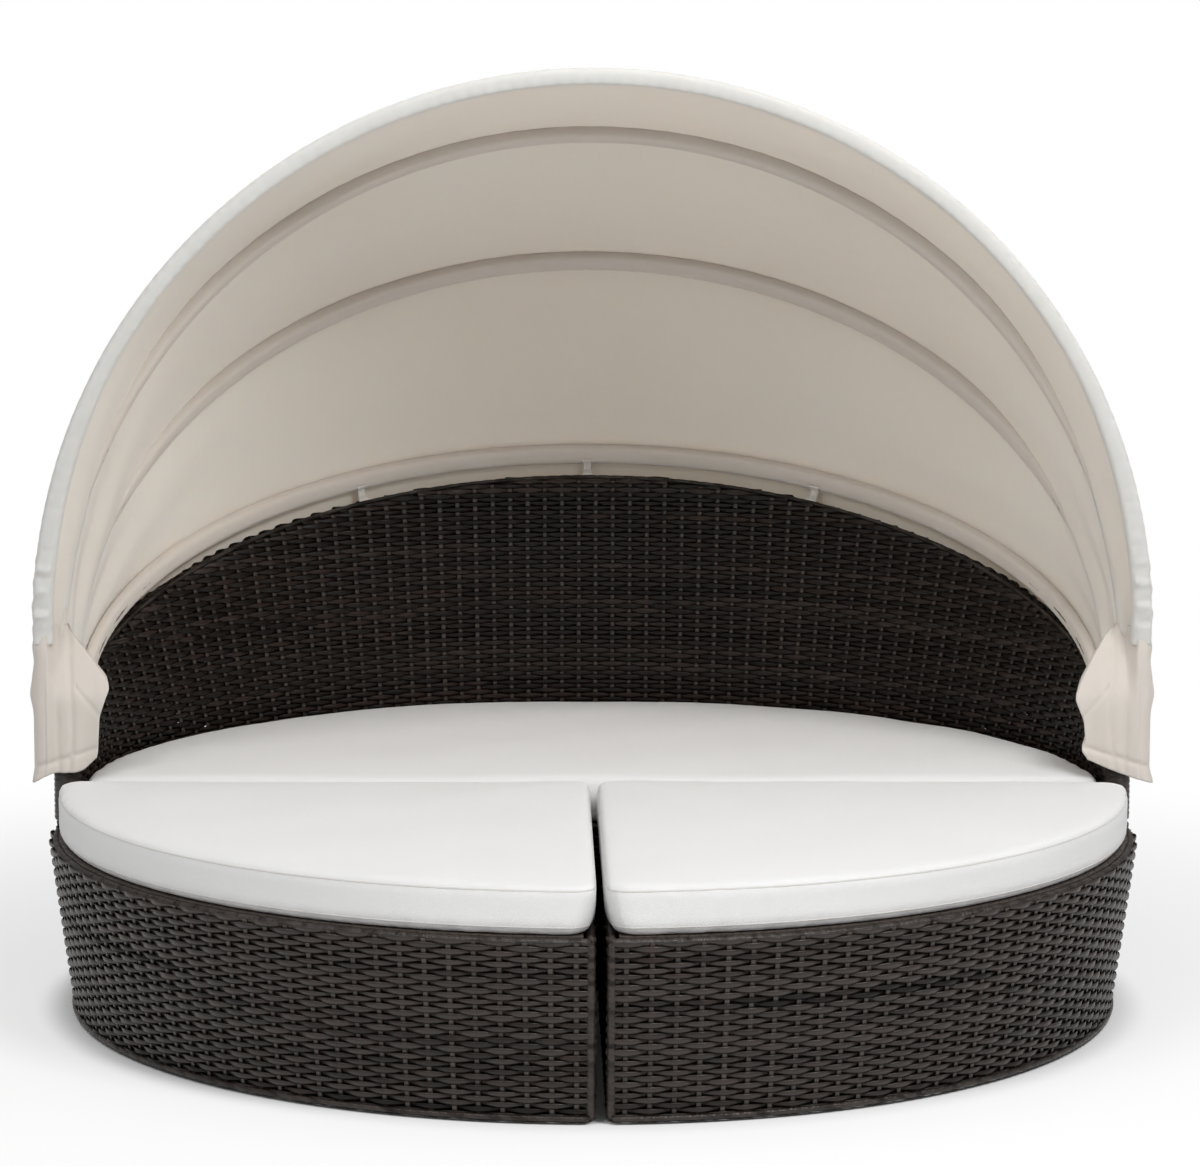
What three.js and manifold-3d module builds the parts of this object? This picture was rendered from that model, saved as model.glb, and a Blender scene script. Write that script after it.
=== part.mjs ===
// Round outdoor daybed in three wicker sections, with loose cushions and a folding canopy on four bows.
// Millimetres, +Z up. The origin is on the floor under the middle of the seat; the open front faces -Y.
import * as THREE from 'three';
import { mergeVertices } from 'three/addons/utils/BufferGeometryUtils.js';
import Module from 'manifold-3d';

const wasm = await Module();
wasm.setup();

// Seat outline and heights
const seatRadius = 900;
const baseTaper = 39;
const baseHeight = 287;
const sectionGap = 16;
const hemHeight = 6;
const wickerThickness = 8;
const fitGap = 0.3;
const roundGap = 2.4;
const weaveSegments = 24;
const crestSteps = 20;
const bowSteps = 24;

// Rolled wicker rim along each section's top edge
const rimRollRadius = 9;
const rimStandout = 5;

// Back wall: its rim rises from the arm ends to the middle of the back
const wallThickness = 45;
const wallTopAtArms = 472;
const wallTopAtBack = 792;

// Welded frames of square tube, and the woven deck that they carry
const frameTube = 25;
const frameCorner = 12;
const deckThickness = 5;
const deckCorner = 5;
const backRailRadius = 10;
const backPostRadius = 10;
const armPostRadius = 11.5;
const backPostCount = 7;
const glideRadius = 18;
const glideHeight = 12;

// Cushions
const cushionThickness = 76;
const cushionCrown = 9;
const cushionEdgeRadius = 24;
const cushionDrawIn = 5;
const cushionCorner = 42;
const cushionCenterCorner = 26;
const frontCushionInset = 12;
const frontCushionEdge = 4;
const rearCushionGap = 8;
const rearCushionEdge = 6.5;

// Canopy bows: bent round tube, hung side by side on one bolt at each arm
const bowTubeRadius = 9.5;
const bowWall = 1.5;
const bowSpacing = 22;
const bowStackOffset = 4;
const bowEndLength = 11;
const rearBowAngle = 20;
const frontBowAngle = 93;
const frontBowLeg = 106;
const middleFrontBowLeg = 92;
const middleRearBowLeg = 104;

// Bracket, bolt and washers at each end of the bows
const bracketPlate = 3;
const bracketWidth = 20;
const bracketEarRise = 11;
const bracketStemRadius = 7;
const bracketStemLength = 70;
const boltRadius = 4;
const boltClearance = 0.6;
const boltHeadRadius = 7.5;
const boltHeadHeight = 5.5;
const boltRunout = 4;
const washerRadius = 10;
const washerThickness = 2.4;

// Canopy cloth, side flaps and the straps that tie the rear bow to the back wall
const clothThickness = 2;
const clothStandoff = 3;
const panelStart = 95;
const panelSag = 12;
const panelTrim = 1.2;
const hemClearance = 2;
const flapFront = 2.5;
const flapInset = 63;
const flapDrop = 112;
const flapInnerDrop = 58;
const flapRise = 95;
const flapOuterDepth = 250;
const flapInnerDepth = 105;
const flapRearRise = 130;
const flapFold = 2;
const flapCorner = 14;
const strapWidth = 28;
const strapThickness = 2;
const strapClearance = 1;
const strapOffset = 420;

const sectionEdge = sectionGap / 2;
const footprintRadius = seatRadius - baseTaper;
const wallSlopeShare = (wallTopAtBack - wallTopAtArms) / seatRadius;
const wallMidRadius = seatRadius - wallThickness / 2;
const wallInnerRadius = seatRadius - wallThickness;
const rollRadius = wallThickness / 2;
const rimRadius = seatRadius + rimStandout - rimRollRadius;
const rimBottom = baseHeight - 2 * rimRollRadius;
const skinTop = rimBottom - fitGap;
const deckTop = baseHeight;
const frameTop = deckTop - deckThickness - fitGap;
const frameRoom = Math.min(outsideRadius(frameTop - frameTube) - wickerThickness, rimRadius - rimRollRadius);
const frameOuterRadius = frameRoom - roundGap;
const frameFootRadius = outsideRadius(glideHeight) - wickerThickness - roundGap;
const frameFoot = glideHeight + fitGap;
const cushionBottom = baseHeight + fitGap;
const armEndY = sectionEdge + rollRadius;
const pivotY = armEndY;
const armEndX = Math.sqrt(wallMidRadius ** 2 - armEndY ** 2);
const bracketBottom = wallTop(pivotY + bracketWidth / 2) + fitGap;
const bowEndSwing = Math.hypot(bowEndLength, bowTubeRadius);
const pivotZ = bracketBottom + bracketPlate + bowEndSwing + 2 * fitGap;
const clothMiddle = bowTubeRadius + clothStandoff + clothThickness / 2;
const bowAngleStep = (frontBowAngle - rearBowAngle) / 3;
const rearBowHalfWidth = armEndX + bowStackOffset - 1.5 * bowSpacing;
const frontBowHalfWidth = rearBowHalfWidth + 3 * bowSpacing;
const rearBowReach = seatRadius + rimStandout - clothMiddle - clothThickness / 2 - pivotY;
const rearBowLeg = rearBowReach / Math.cos(radians(rearBowAngle)) - rearBowHalfWidth;
const stackInner = rearBowHalfWidth - bowTubeRadius - fitGap;
const stackOuter = frontBowHalfWidth + bowTubeRadius + fitGap;
const boltHeadStart = stackOuter + bracketPlate + fitGap;
const flapOuterX = boltHeadStart + boltHeadHeight + fitGap + clothThickness / 2;
const flapInnerX = armEndX - flapInset;
const flapBottom = wallTopAtArms - flapDrop;
const flapInnerBottom = wallTopAtArms - flapInnerDrop;
const flapTop = pivotZ + flapRise;
const frontCushionRadius = seatRadius - frontCushionInset;
const rearCushionRadius = wallInnerRadius - rearCushionGap;
const cut = 2 * seatRadius;

const bows = {
  rear: bow(0, rearBowLeg),
  middleRear: bow(1, middleRearBowLeg),
  middleFront: bow(2, middleFrontBowLeg),
  front: bow(3, frontBowLeg),
};

const materials = {
  wicker: material(0x483e39, 0.6, 0),
  frame: material(0x2f2b29, 0.5, 0.6),
  bow: material(0x6d655e, 0.4, 0.7),
  steel: material(0xa9a9a9, 0.35, 1),
  plastic: material(0x1c1a19, 0.7, 0),
  canopy: material(0xd8cfc4, 0.9, 0),
  cushion: material(0xefedea, 0.95, 0),
};

function material(color, roughness, metalness) {
  return new THREE.MeshStandardMaterial({ color, roughness, metalness, flatShading: true });
}

// The bows counted from the rear: each is wider than the last and stands steeper.
function bow(number, leg) {
  return {
    halfWidth: rearBowHalfWidth + number * bowSpacing,
    leg,
    angle: rearBowAngle + number * bowAngleStep,
  };
}

function radians(degrees) {
  return THREE.MathUtils.degToRad(degrees);
}

// The base leans inwards to the floor: its outside radius at a height.
function outsideRadius(z) {
  return footprintRadius + (seatRadius - footprintRadius) * Math.min(z / baseHeight, 1);
}

// The crest of the back wall lies in one plane that rises to the rear.
function wallTop(y) {
  return wallTopAtArms + wallSlopeShare * y;
}

function toSolid(geometry) {
  const bare = geometry.clone();
  bare.deleteAttribute('normal');
  bare.deleteAttribute('uv');
  const merged = mergeVertices(bare);
  return new wasm.Manifold(new wasm.Mesh({
    numProp: 3,
    vertProperties: new Float32Array(merged.attributes.position.array),
    triVerts: new Uint32Array(merged.index.array),
  }));
}

function toGeometry(solid) {
  const mesh = solid.getMesh();
  const geometry = new THREE.BufferGeometry();
  geometry.setAttribute('position', new THREE.BufferAttribute(mesh.vertProperties.slice(), 3));
  geometry.setIndex(new THREE.BufferAttribute(mesh.triVerts.slice(), 1));
  geometry.computeVertexNormals();
  return geometry;
}

function joined(solids) {
  return solids.reduce((sum, solid) => sum.add(solid));
}

function named(name, geometry, material) {
  const mesh = new THREE.Mesh(geometry, material);
  mesh.name = name;
  return mesh;
}

function boxSolid(minX, minY, minZ, maxX, maxY, maxZ) {
  const box = new THREE.BoxGeometry(maxX - minX, maxY - minY, maxZ - minZ);
  return toSolid(box.translate((minX + maxX) / 2, (minY + maxY) / 2, (minZ + maxZ) / 2));
}

// A straight bar of square section between two points.
function squareBar(from, to, size) {
  const direction = to.clone().sub(from);
  const bar = new THREE.BoxGeometry(size, size, direction.length());
  const turn = new THREE.Matrix4().lookAt(to, from, new THREE.Vector3(-from.y, from.x, 0).normalize());
  bar.applyMatrix4(turn);
  return toSolid(bar.translate((from.x + to.x) / 2, (from.y + to.y) / 2, (from.z + to.z) / 2));
}

// A straight round bar between two points.
function roundBar(from, to, radius, sides) {
  const direction = to.clone().sub(from);
  const bar = new THREE.CylinderGeometry(radius, radius, direction.length(), sides);
  const up = new THREE.Vector3(0, 1, 0);
  bar.applyQuaternion(new THREE.Quaternion().setFromUnitVectors(up, direction.normalize()));
  return toSolid(bar.translate((from.x + to.x) / 2, (from.y + to.y) / 2, (from.z + to.z) / 2));
}

// A full ring turned about the vertical axis from a closed profile of [radius, height] points.
function turnedRing(profile) {
  const points = profile.map(([radius, z]) => new THREE.Vector2(radius, z));
  points.push(points[0].clone());
  const ring = new THREE.LatheGeometry(points, 2 * weaveSegments);
  return toSolid(ring.rotateX(Math.PI / 2));
}

// Plan outline of a section in the quarter x > 0, y > 0, or in the half y > 0, with rounded corners.
// Its straight sides lie at the distance edge from the axes.
function sectionOutline({ radius, edge, corner, centerCorner, half }, arcPoints) {
  const points = [];
  const reach = Math.sqrt((radius - corner) ** 2 - (edge + corner) ** 2);
  const lean = Math.atan2(edge + corner, reach);
  const bend = (cx, cy, r, from, to, count) => {
    for (let i = 0; i < count; i += 1) {
      const angle = from + (to - from) * i / (count - 1);
      points.push(new THREE.Vector2(cx + r * Math.cos(angle), cy + r * Math.sin(angle)));
    }
  };
  const cornerPoints = 5;
  bend(reach, edge + corner, corner, -Math.PI / 2, lean, cornerPoints);
  const last = half ? Math.PI - lean : Math.PI / 2 - lean;
  for (let i = 1; i < arcPoints; i += 1) {
    const angle = lean + (last - lean) * i / arcPoints;
    points.push(new THREE.Vector2(radius * Math.cos(angle), radius * Math.sin(angle)));
  }
  if (half) {
    bend(-reach, edge + corner, corner, last, 3 * Math.PI / 2, cornerPoints);
    return points;
  }
  bend(edge + corner, reach, corner, last, Math.PI, cornerPoints);
  bend(edge + centerCorner, edge + centerCorner, centerCorner, Math.PI, 3 * Math.PI / 2, cornerPoints);
  return points;
}

// A flat plate of a section's plan, with a hole where one is given.
function planPlate(outline, hole, bottom, thickness) {
  const shape = new THREE.Shape(outline);
  if (hole) {
    shape.holes.push(new THREE.Path(hole));
  }
  const plate = new THREE.ExtrudeGeometry(shape, { depth: thickness, bevelEnabled: false });
  return toSolid(plate.translate(0, 0, bottom));
}

// Closed thin cloth around a grid of points on its middle surface.
function clothSheet(rows, thickness) {
  const rowCount = rows.length;
  const columnCount = rows[0].length;
  const positions = [];
  const { clamp } = THREE.MathUtils;
  const at = (r, c) => rows[clamp(r, 0, rowCount - 1)][clamp(c, 0, columnCount - 1)];
  const sides = [thickness / 2, -thickness / 2];
  sides.forEach((offset) => {
    for (let r = 0; r < rowCount; r += 1) {
      for (let c = 0; c < columnCount; c += 1) {
        const along = at(r, c + 1).clone().sub(at(r, c - 1));
        const across = at(r + 1, c).clone().sub(at(r - 1, c));
        const normal = along.cross(across).normalize();
        positions.push(...at(r, c).clone().addScaledVector(normal, offset).toArray());
      }
    }
  });
  const id = (side, r, c) => (side * rowCount + r) * columnCount + c;
  const index = [];
  const quad = (a, b, c, d) => index.push(a, b, c, a, c, d);
  for (let r = 0; r + 1 < rowCount; r += 1) {
    for (let c = 0; c + 1 < columnCount; c += 1) {
      quad(id(0, r, c), id(0, r, c + 1), id(0, r + 1, c + 1), id(0, r + 1, c));
      quad(id(1, r, c), id(1, r + 1, c), id(1, r + 1, c + 1), id(1, r, c + 1));
    }
    const end = columnCount - 1;
    quad(id(0, r, 0), id(0, r + 1, 0), id(1, r + 1, 0), id(1, r, 0));
    quad(id(0, r, end), id(1, r, end), id(1, r + 1, end), id(0, r + 1, end));
  }
  for (let c = 0; c + 1 < columnCount; c += 1) {
    const end = rowCount - 1;
    quad(id(0, 0, c), id(1, 0, c), id(1, 0, c + 1), id(0, 0, c + 1));
    quad(id(0, end, c), id(0, end, c + 1), id(1, end, c + 1), id(1, end, c));
  }
  const geometry = new THREE.BufferGeometry();
  geometry.setAttribute('position', new THREE.Float32BufferAttribute(positions, 3));
  geometry.setIndex(index);
  geometry.computeVertexNormals();
  return geometry;
}

// Wicker skins of the base and the back wall

// The curved outer skin of the base: a ring that leans inwards to the floor.
function baseSkinRing(top) {
  const inner = (z) => outsideRadius(z) - wickerThickness;
  return turnedRing([
    [inner(hemHeight), hemHeight],
    [outsideRadius(hemHeight), hemHeight],
    [outsideRadius(top), top],
    [inner(top), top],
  ]);
}

// The room inside the curved skin, less a fitting gap, in which the flat panels end.
function insideOfBaseSkin() {
  const room = (z) => outsideRadius(z) - wickerThickness - fitGap;
  const points = [[0, 0], [room(0), 0], [room(baseHeight), baseHeight], [0, baseHeight]];
  const lathe = new THREE.LatheGeometry(points.map(([r, z]) => new THREE.Vector2(r, z)), 2 * weaveSegments);
  return toSolid(lathe.rotateX(Math.PI / 2));
}

function frontOuterWicker() {
  const quarter = boxSolid(sectionEdge, sectionEdge, 0, cut, cut, cut);
  return toGeometry(baseSkinRing(skinTop).intersect(quarter));
}

// The flat panel along one straight side of a front section, over its full length.
function frontLongWicker() {
  const panel = boxSolid(sectionEdge, sectionEdge, hemHeight, sectionEdge + wickerThickness, cut, skinTop);
  return toGeometry(panel.intersect(insideOfBaseSkin()));
}

// The flat panel along the other straight side; it butts against the long one.
function frontShortWicker() {
  const start = sectionEdge + wickerThickness + fitGap;
  const panel = boxSolid(start, sectionEdge, hemHeight, cut, sectionEdge + wickerThickness, skinTop);
  return toGeometry(panel.intersect(insideOfBaseSkin()));
}

function rearFrontWicker() {
  const panel = boxSolid(-cut, sectionEdge, hemHeight, cut, sectionEdge + wickerThickness, skinTop);
  return toGeometry(panel.intersect(insideOfBaseSkin()));
}

// The rolled rim of a front section: a quarter of a ring and two straight lengths, closed at the corners.
function frontTopRim() {
  const z = baseHeight - rimRollRadius;
  const inset = sectionEdge + rimRollRadius;
  const end = Math.sqrt(rimRadius ** 2 - inset ** 2);
  const profile = [];
  const sides = 8;
  for (let i = 0; i < sides; i += 1) {
    const angle = 2 * Math.PI * i / sides;
    profile.push([rimRadius + rimRollRadius * Math.cos(angle), z + rimRollRadius * Math.sin(angle)]);
  }
  const arc = turnedRing(profile).intersect(boxSolid(inset, inset, 0, cut, cut, cut));
  const corners = [[inset, inset], [end, inset], [inset, end]];
  const knees = corners.map(([x, y]) => {
    return toSolid(new THREE.SphereGeometry(rimRollRadius, 8, 6).rotateX(Math.PI / 2).translate(x, y, z));
  });
  const center = new THREE.Vector3(inset, inset, z);
  const sidesSolids = [
    roundBar(center, new THREE.Vector3(end, inset, z), rimRollRadius, sides),
    roundBar(center, new THREE.Vector3(inset, end, z), rimRollRadius, sides),
  ];
  return toGeometry(joined([arc, ...knees, ...sidesSolids]));
}

function rearFrontRim() {
  const y = sectionEdge + rimRollRadius;
  const z = baseHeight - rimRollRadius;
  const end = armEndX - armPostRadius - roundGap;
  const from = new THREE.Vector3(-end, y, z);
  const to = new THREE.Vector3(end, y, z);
  return toGeometry(roundBar(from, to, rimRollRadius, 8));
}

// The crest line of the back wall, from one arm end round the back to the other, sunk by depth.
class CrestCurve extends THREE.Curve {
  constructor(depth) {
    super();
    this.depth = depth;
  }

  getPoint(t, target = new THREE.Vector3()) {
    const start = Math.asin(armEndY / wallMidRadius);
    const angle = start + (Math.PI - 2 * start) * t;
    const x = wallMidRadius * Math.cos(angle);
    const y = wallMidRadius * Math.sin(angle);
    return target.set(x, y, wallTop(y) - this.depth);
  }
}

function crestTube(radius, depth, sides) {
  const section = new THREE.Shape();
  section.absarc(0, 0, radius, 0, 2 * Math.PI, false);
  const settings = { steps: crestSteps, extrudePath: new CrestCurve(depth), curveSegments: sides / 2 };
  return toSolid(new THREE.ExtrudeGeometry(section, settings));
}

// The top roll of the back wall before its frame is cut out, grown by a clearance.
function topRollBody(grow) {
  const path = new CrestCurve(rollRadius);
  const ends = [0, 1].map((t) => {
    const ball = new THREE.SphereGeometry(rollRadius + grow, 10, 8).rotateX(Math.PI / 2);
    return toSolid(ball.translate(...path.getPoint(t).toArray()));
  });
  return joined([crestTube(rollRadius + grow, rollRadius, 10), ...ends]);
}

// The rear section's back frame: posts on the base frame, joined by a rail inside the top roll.
function backFrameBody(grow) {
  const rail = crestTube(backRailRadius + grow, rollRadius, 8);
  const path = new CrestCurve(rollRadius);
  const posts = [];
  for (let i = 0; i < backPostCount; i += 1) {
    const atArm = i === 0 || i === backPostCount - 1;
    const top = path.getPoint(i / (backPostCount - 1));
    const foot = new THREE.Vector3(top.x, top.y, frameTop + fitGap);
    const radius = (atArm ? armPostRadius : backPostRadius) + grow;
    posts.push(roundBar(foot, top, radius, 8));
    if (atArm) {
      const ball = new THREE.SphereGeometry(radius, 8, 6).rotateX(Math.PI / 2);
      posts.push(toSolid(ball.translate(...top.toArray())));
    }
  }
  return joined([rail, ...posts]);
}

// The hole in each arm post that takes the bracket's stem.
function stemHoles(grow) {
  const radius = bracketStemRadius + grow;
  const bottom = bracketBottom - bracketStemLength - grow;
  return joined([-1, 1].map((side) => {
    const x = side * armEndX;
    return roundBar(new THREE.Vector3(x, pivotY, bottom), new THREE.Vector3(x, pivotY, cut), radius, 10);
  }));
}

function rearBackFrame() {
  return toGeometry(backFrameBody(0).subtract(stemHoles(fitGap)));
}

function rearTopRoll() {
  return toGeometry(topRollBody(0).subtract(backFrameBody(fitGap)).subtract(stemHoles(fitGap)));
}

// Everything that a skin of the back wall ends against.
function wallTopCutter() {
  const above = boxSolid(-cut, -cut, wallTopAtArms, cut, cut, 2 * cut);
  const lean = new THREE.BoxGeometry(2 * cut, 2 * cut, cut).translate(0, 0, cut / 2);
  const slope = new THREE.Matrix4().makeRotationX(Math.atan(wallSlopeShare));
  lean.applyMatrix4(slope);
  lean.translate(0, 0, wallTopAtArms - rollRadius);
  return joined([toSolid(lean).intersect(above.translate(0, 0, -rollRadius)), topRollBody(fitGap)]);
}

const armSides = 16;

function armEndCutter() {
  return joined([-1, 1].map((side) => {
    const foot = new THREE.Vector3(side * armEndX, armEndY, baseHeight - fitGap);
    const top = new THREE.Vector3(side * armEndX, armEndY, cut);
    return roundBar(foot, top, rollRadius + fitGap, armSides);
  }));
}

// Outer skin of the rear section: the leaning base below, the upright back wall above.
function rearOuterWicker() {
  const inner = (z) => outsideRadius(z) - wickerThickness;
  const ring = turnedRing([
    [inner(hemHeight), hemHeight],
    [outsideRadius(hemHeight), hemHeight],
    [seatRadius, baseHeight],
    [seatRadius, wallTopAtBack],
    [seatRadius - wickerThickness, wallTopAtBack],
    [seatRadius - wickerThickness, baseHeight],
  ]);
  const half = boxSolid(-cut, sectionEdge, 0, cut, cut, baseHeight);
  const upper = boxSolid(-cut, armEndY, baseHeight - fitGap, cut, cut, cut);
  const skin = ring.intersect(joined([half, upper]));
  return toGeometry(skin.subtract(wallTopCutter()).subtract(armEndCutter()));
}

function rearInnerWicker() {
  const ring = turnedRing([
    [wallInnerRadius, frameTop + fitGap],
    [wallInnerRadius + wickerThickness, frameTop + fitGap],
    [wallInnerRadius + wickerThickness, wallTopAtBack],
    [wallInnerRadius, wallTopAtBack],
  ]);
  const half = boxSolid(-cut, armEndY, 0, cut, cut, cut);
  const lowEnds = joined([-1, 1].map((side) => {
    const x = side * armEndX;
    const r = rollRadius + fitGap;
    return boxSolid(x - r, 0, 0, x + r, armEndY + r, baseHeight);
  }));
  const skin = ring.intersect(half).subtract(lowEnds);
  return toGeometry(skin.subtract(wallTopCutter()).subtract(armEndCutter()));
}

// The woven sleeve on an arm post, open at both ends.
function armWicker(side) {
  const shape = new THREE.Shape();
  shape.absarc(0, 0, rollRadius, 0, 2 * Math.PI, false);
  const bore = new THREE.Path();
  bore.absarc(0, 0, armPostRadius + 4 * fitGap, 0, 2 * Math.PI, false);
  shape.holes.push(bore);
  const depth = wallTopAtArms - baseHeight;
  const settings = { depth, bevelEnabled: false, curveSegments: armSides / 2 };
  const tube = new THREE.ExtrudeGeometry(shape, settings);
  tube.translate(side * armEndX, armEndY, baseHeight);
  return toGeometry(toSolid(tube).subtract(topRollBody(fitGap)));
}

// Base frames

// A closed ring of square tube that follows a section's plan.
function frameRing(radius, edge, bottom, half) {
  const shapeOf = (inset) => sectionOutline({
    radius: radius - inset,
    edge: edge + inset,
    corner: frameCorner,
    centerCorner: frameCorner,
    half,
  }, half ? weaveSegments / 2 : weaveSegments / 4);
  return planPlate(shapeOf(0), shapeOf(frameTube), bottom, frameTube);
}

function frameLeg(angle, topRadius, footRadius) {
  const foot = frameFoot + frameTube / 2;
  const top = frameTop - frameTube / 2;
  const from = new THREE.Vector3(footRadius * Math.cos(angle), footRadius * Math.sin(angle), foot);
  const to = new THREE.Vector3(topRadius * Math.cos(angle), topRadius * Math.sin(angle), top);
  return squareBar(from, to, frameTube);
}

function sectionFrame(half) {
  const edge = sectionEdge + 2 * rimRollRadius + fitGap;
  const parts = [
    frameRing(frameOuterRadius, edge, frameTop - frameTube, half),
    frameRing(frameFootRadius, sectionEdge + wickerThickness + fitGap, frameFoot, half),
  ];
  const topMid = frameOuterRadius - frameTube / 2;
  const footMid = frameFootRadius - frameTube / 2;
  const lowEnd = Math.asin((edge + frameTube) / footMid);
  const span = half ? Math.PI : Math.PI / 2;
  const legCount = half ? 5 : 3;
  for (let i = 0; i < legCount; i += 1) {
    const angle = lowEnd + (span - 2 * lowEnd) * i / (legCount - 1);
    parts.push(frameLeg(angle, topMid, footMid));
  }
  const mid = edge + frameTube / 2;
  const centerX = half ? 0 : mid;
  const low = new THREE.Vector3(centerX, mid, frameFoot + frameTube / 2);
  const high = new THREE.Vector3(centerX, mid, frameTop - frameTube / 2);
  parts.push(squareBar(low, high, frameTube));
  return joined([...parts, ...deckBearers(half, mid, topMid)]);
}

// Bars under the deck.
function deckBearers(half, mid, topMid) {
  const z = frameTop - frameTube / 2;
  const bearerCount = 3;
  const bars = [];
  for (let i = 0; i < bearerCount; i += 1) {
    const step = half ? topMid / 2 : topMid / (bearerCount + 1);
    const x = half ? step * (i - 1) : mid + step * (i + 0.5);
    const y = Math.sqrt(topMid ** 2 - x ** 2);
    bars.push(squareBar(new THREE.Vector3(x, mid, z), new THREE.Vector3(x, y, z), frameTube));
  }
  return bars;
}

function seatDeck(half) {
  const radius = half ? wallInnerRadius - roundGap : rimRadius - rimRollRadius - roundGap;
  const edge = sectionEdge + 2 * rimRollRadius + fitGap;
  const plan = { radius, edge, corner: deckCorner, centerCorner: deckCorner, half };
  const outline = sectionOutline(plan, weaveSegments / 2);
  return toGeometry(planPlate(outline, null, deckTop - deckThickness, deckThickness));
}

function glide() {
  const foot = new THREE.CylinderGeometry(glideRadius, glideRadius, glideHeight, 10);
  return foot.rotateX(Math.PI / 2).translate(0, 0, glideHeight / 2);
}

// Cushions: boxed, with soft edges, sides drawn in between the seams and a crowned top.
function cushion(plan, arcPoints) {
  const top = cushionThickness;
  const soft = cushionEdgeRadius;
  const levels = [
    [soft, 0],
    [soft / 4, soft / 4],
    [0, soft],
    [cushionDrawIn, top / 2],
    [0, top - soft],
    [soft / 4, top - soft / 4],
    [soft, top],
  ];
  const rings = levels.map(([inset, z]) => cushionRing(plan, inset, z, arcPoints));
  const outer = rings[rings.length - 1];
  const middle = outer.reduce((sum, p) => sum.add(p), new THREE.Vector3()).divideScalar(outer.length);
  const crownShares = [0.8, 0.5];
  crownShares.forEach((share) => {
    const rise = cushionCrown * (1 - share ** 3);
    rings.push(outer.map((p) => new THREE.Vector3().lerpVectors(middle, p, share).setZ(top + rise)));
  });
  const positions = rings.flat().flatMap((p) => p.toArray());
  positions.push(middle.x, middle.y, 0, middle.x, middle.y, top + cushionCrown);
  const count = outer.length;
  const low = rings.length * count;
  const index = [];
  for (let r = 0; r + 1 < rings.length; r += 1) {
    for (let i = 0; i < count; i += 1) {
      const next = (i + 1) % count;
      const a = r * count + i;
      const b = r * count + next;
      index.push(a, b, b + count, a, b + count, a + count);
    }
  }
  const last = (rings.length - 1) * count;
  for (let i = 0; i < count; i += 1) {
    const next = (i + 1) % count;
    index.push(low, next, i);
    index.push(low + 1, last + i, last + next);
  }
  const geometry = new THREE.BufferGeometry();
  geometry.setAttribute('position', new THREE.Float32BufferAttribute(positions, 3));
  geometry.setIndex(index);
  geometry.computeVertexNormals();
  return geometry.translate(0, 0, cushionBottom);
}

function cushionRing(plan, inset, z, arcPoints) {
  const outline = sectionOutline({
    radius: plan.radius - inset,
    edge: plan.edge + inset,
    corner: plan.corner - inset / 2,
    centerCorner: plan.centerCorner - inset / 2,
    half: plan.half,
  }, arcPoints);
  return outline.map((p) => new THREE.Vector3(p.x, p.y, z));
}

// Canopy bows

// A point of a bow at the distance s along its middle line, in the bow's own plane.
function bowPlanePoint(bow, s) {
  const { halfWidth, leg } = bow;
  const arc = Math.PI * halfWidth;
  if (s < leg) {
    return { x: halfWidth, r: s, nx: 1, nr: 0 };
  }
  if (s > leg + arc) {
    return { x: -halfWidth, r: leg - (s - leg - arc), nx: -1, nr: 0 };
  }
  const angle = (s - leg) / halfWidth;
  const nx = Math.cos(angle);
  const nr = Math.sin(angle);
  return { x: halfWidth * nx, r: leg + halfWidth * nr, nx, nr };
}

function bowLength(bow) {
  return 2 * bow.leg + Math.PI * bow.halfWidth;
}

// The same point in space, moved outwards from the tube's middle by offset along the turned normal.
function bowPoint(bow, s, offset, turn) {
  const { x, r, nx, nr } = bowPlanePoint(bow, s);
  const angle = radians(bow.angle);
  const out = offset * Math.cos(radians(turn));
  const down = offset * Math.sin(radians(turn));
  const reach = r + nr * out;
  const y = pivotY + reach * Math.cos(angle) + down * Math.sin(angle);
  const z = pivotZ + reach * Math.sin(angle) - down * Math.cos(angle);
  return new THREE.Vector3(x + nx * out, y, z);
}

class BowCurve extends THREE.Curve {
  constructor(bow) {
    super();
    this.bow = bow;
  }

  getPoint(t, target = new THREE.Vector3()) {
    const s = -bowEndLength + (bowLength(this.bow) + 2 * bowEndLength) * t;
    return target.copy(bowPoint(this.bow, s, 0, 0));
  }
}

function boltHole(halfLength) {
  const from = new THREE.Vector3(-halfLength, pivotY, pivotZ);
  const to = new THREE.Vector3(halfLength, pivotY, pivotZ);
  return roundBar(from, to, boltRadius + boltClearance, 8);
}

function bowTube(bow) {
  const section = new THREE.Shape();
  section.absarc(0, 0, bowTubeRadius, 0, 2 * Math.PI, false);
  const boreRadius = bowTubeRadius - bowWall;
  const borePoints = Array.from({ length: 6 }, (_, i) => {
    const angle = Math.PI * i / 3;
    return new THREE.Vector2(boreRadius * Math.cos(angle), boreRadius * Math.sin(angle));
  });
  section.holes.push(new THREE.Path(borePoints));
  const settings = { steps: bowSteps, extrudePath: new BowCurve(bow), curveSegments: 4 };
  const tube = toSolid(new THREE.ExtrudeGeometry(section, settings));
  return toGeometry(tube.subtract(boltHole(cut)));
}

// Pivot hardware

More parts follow.
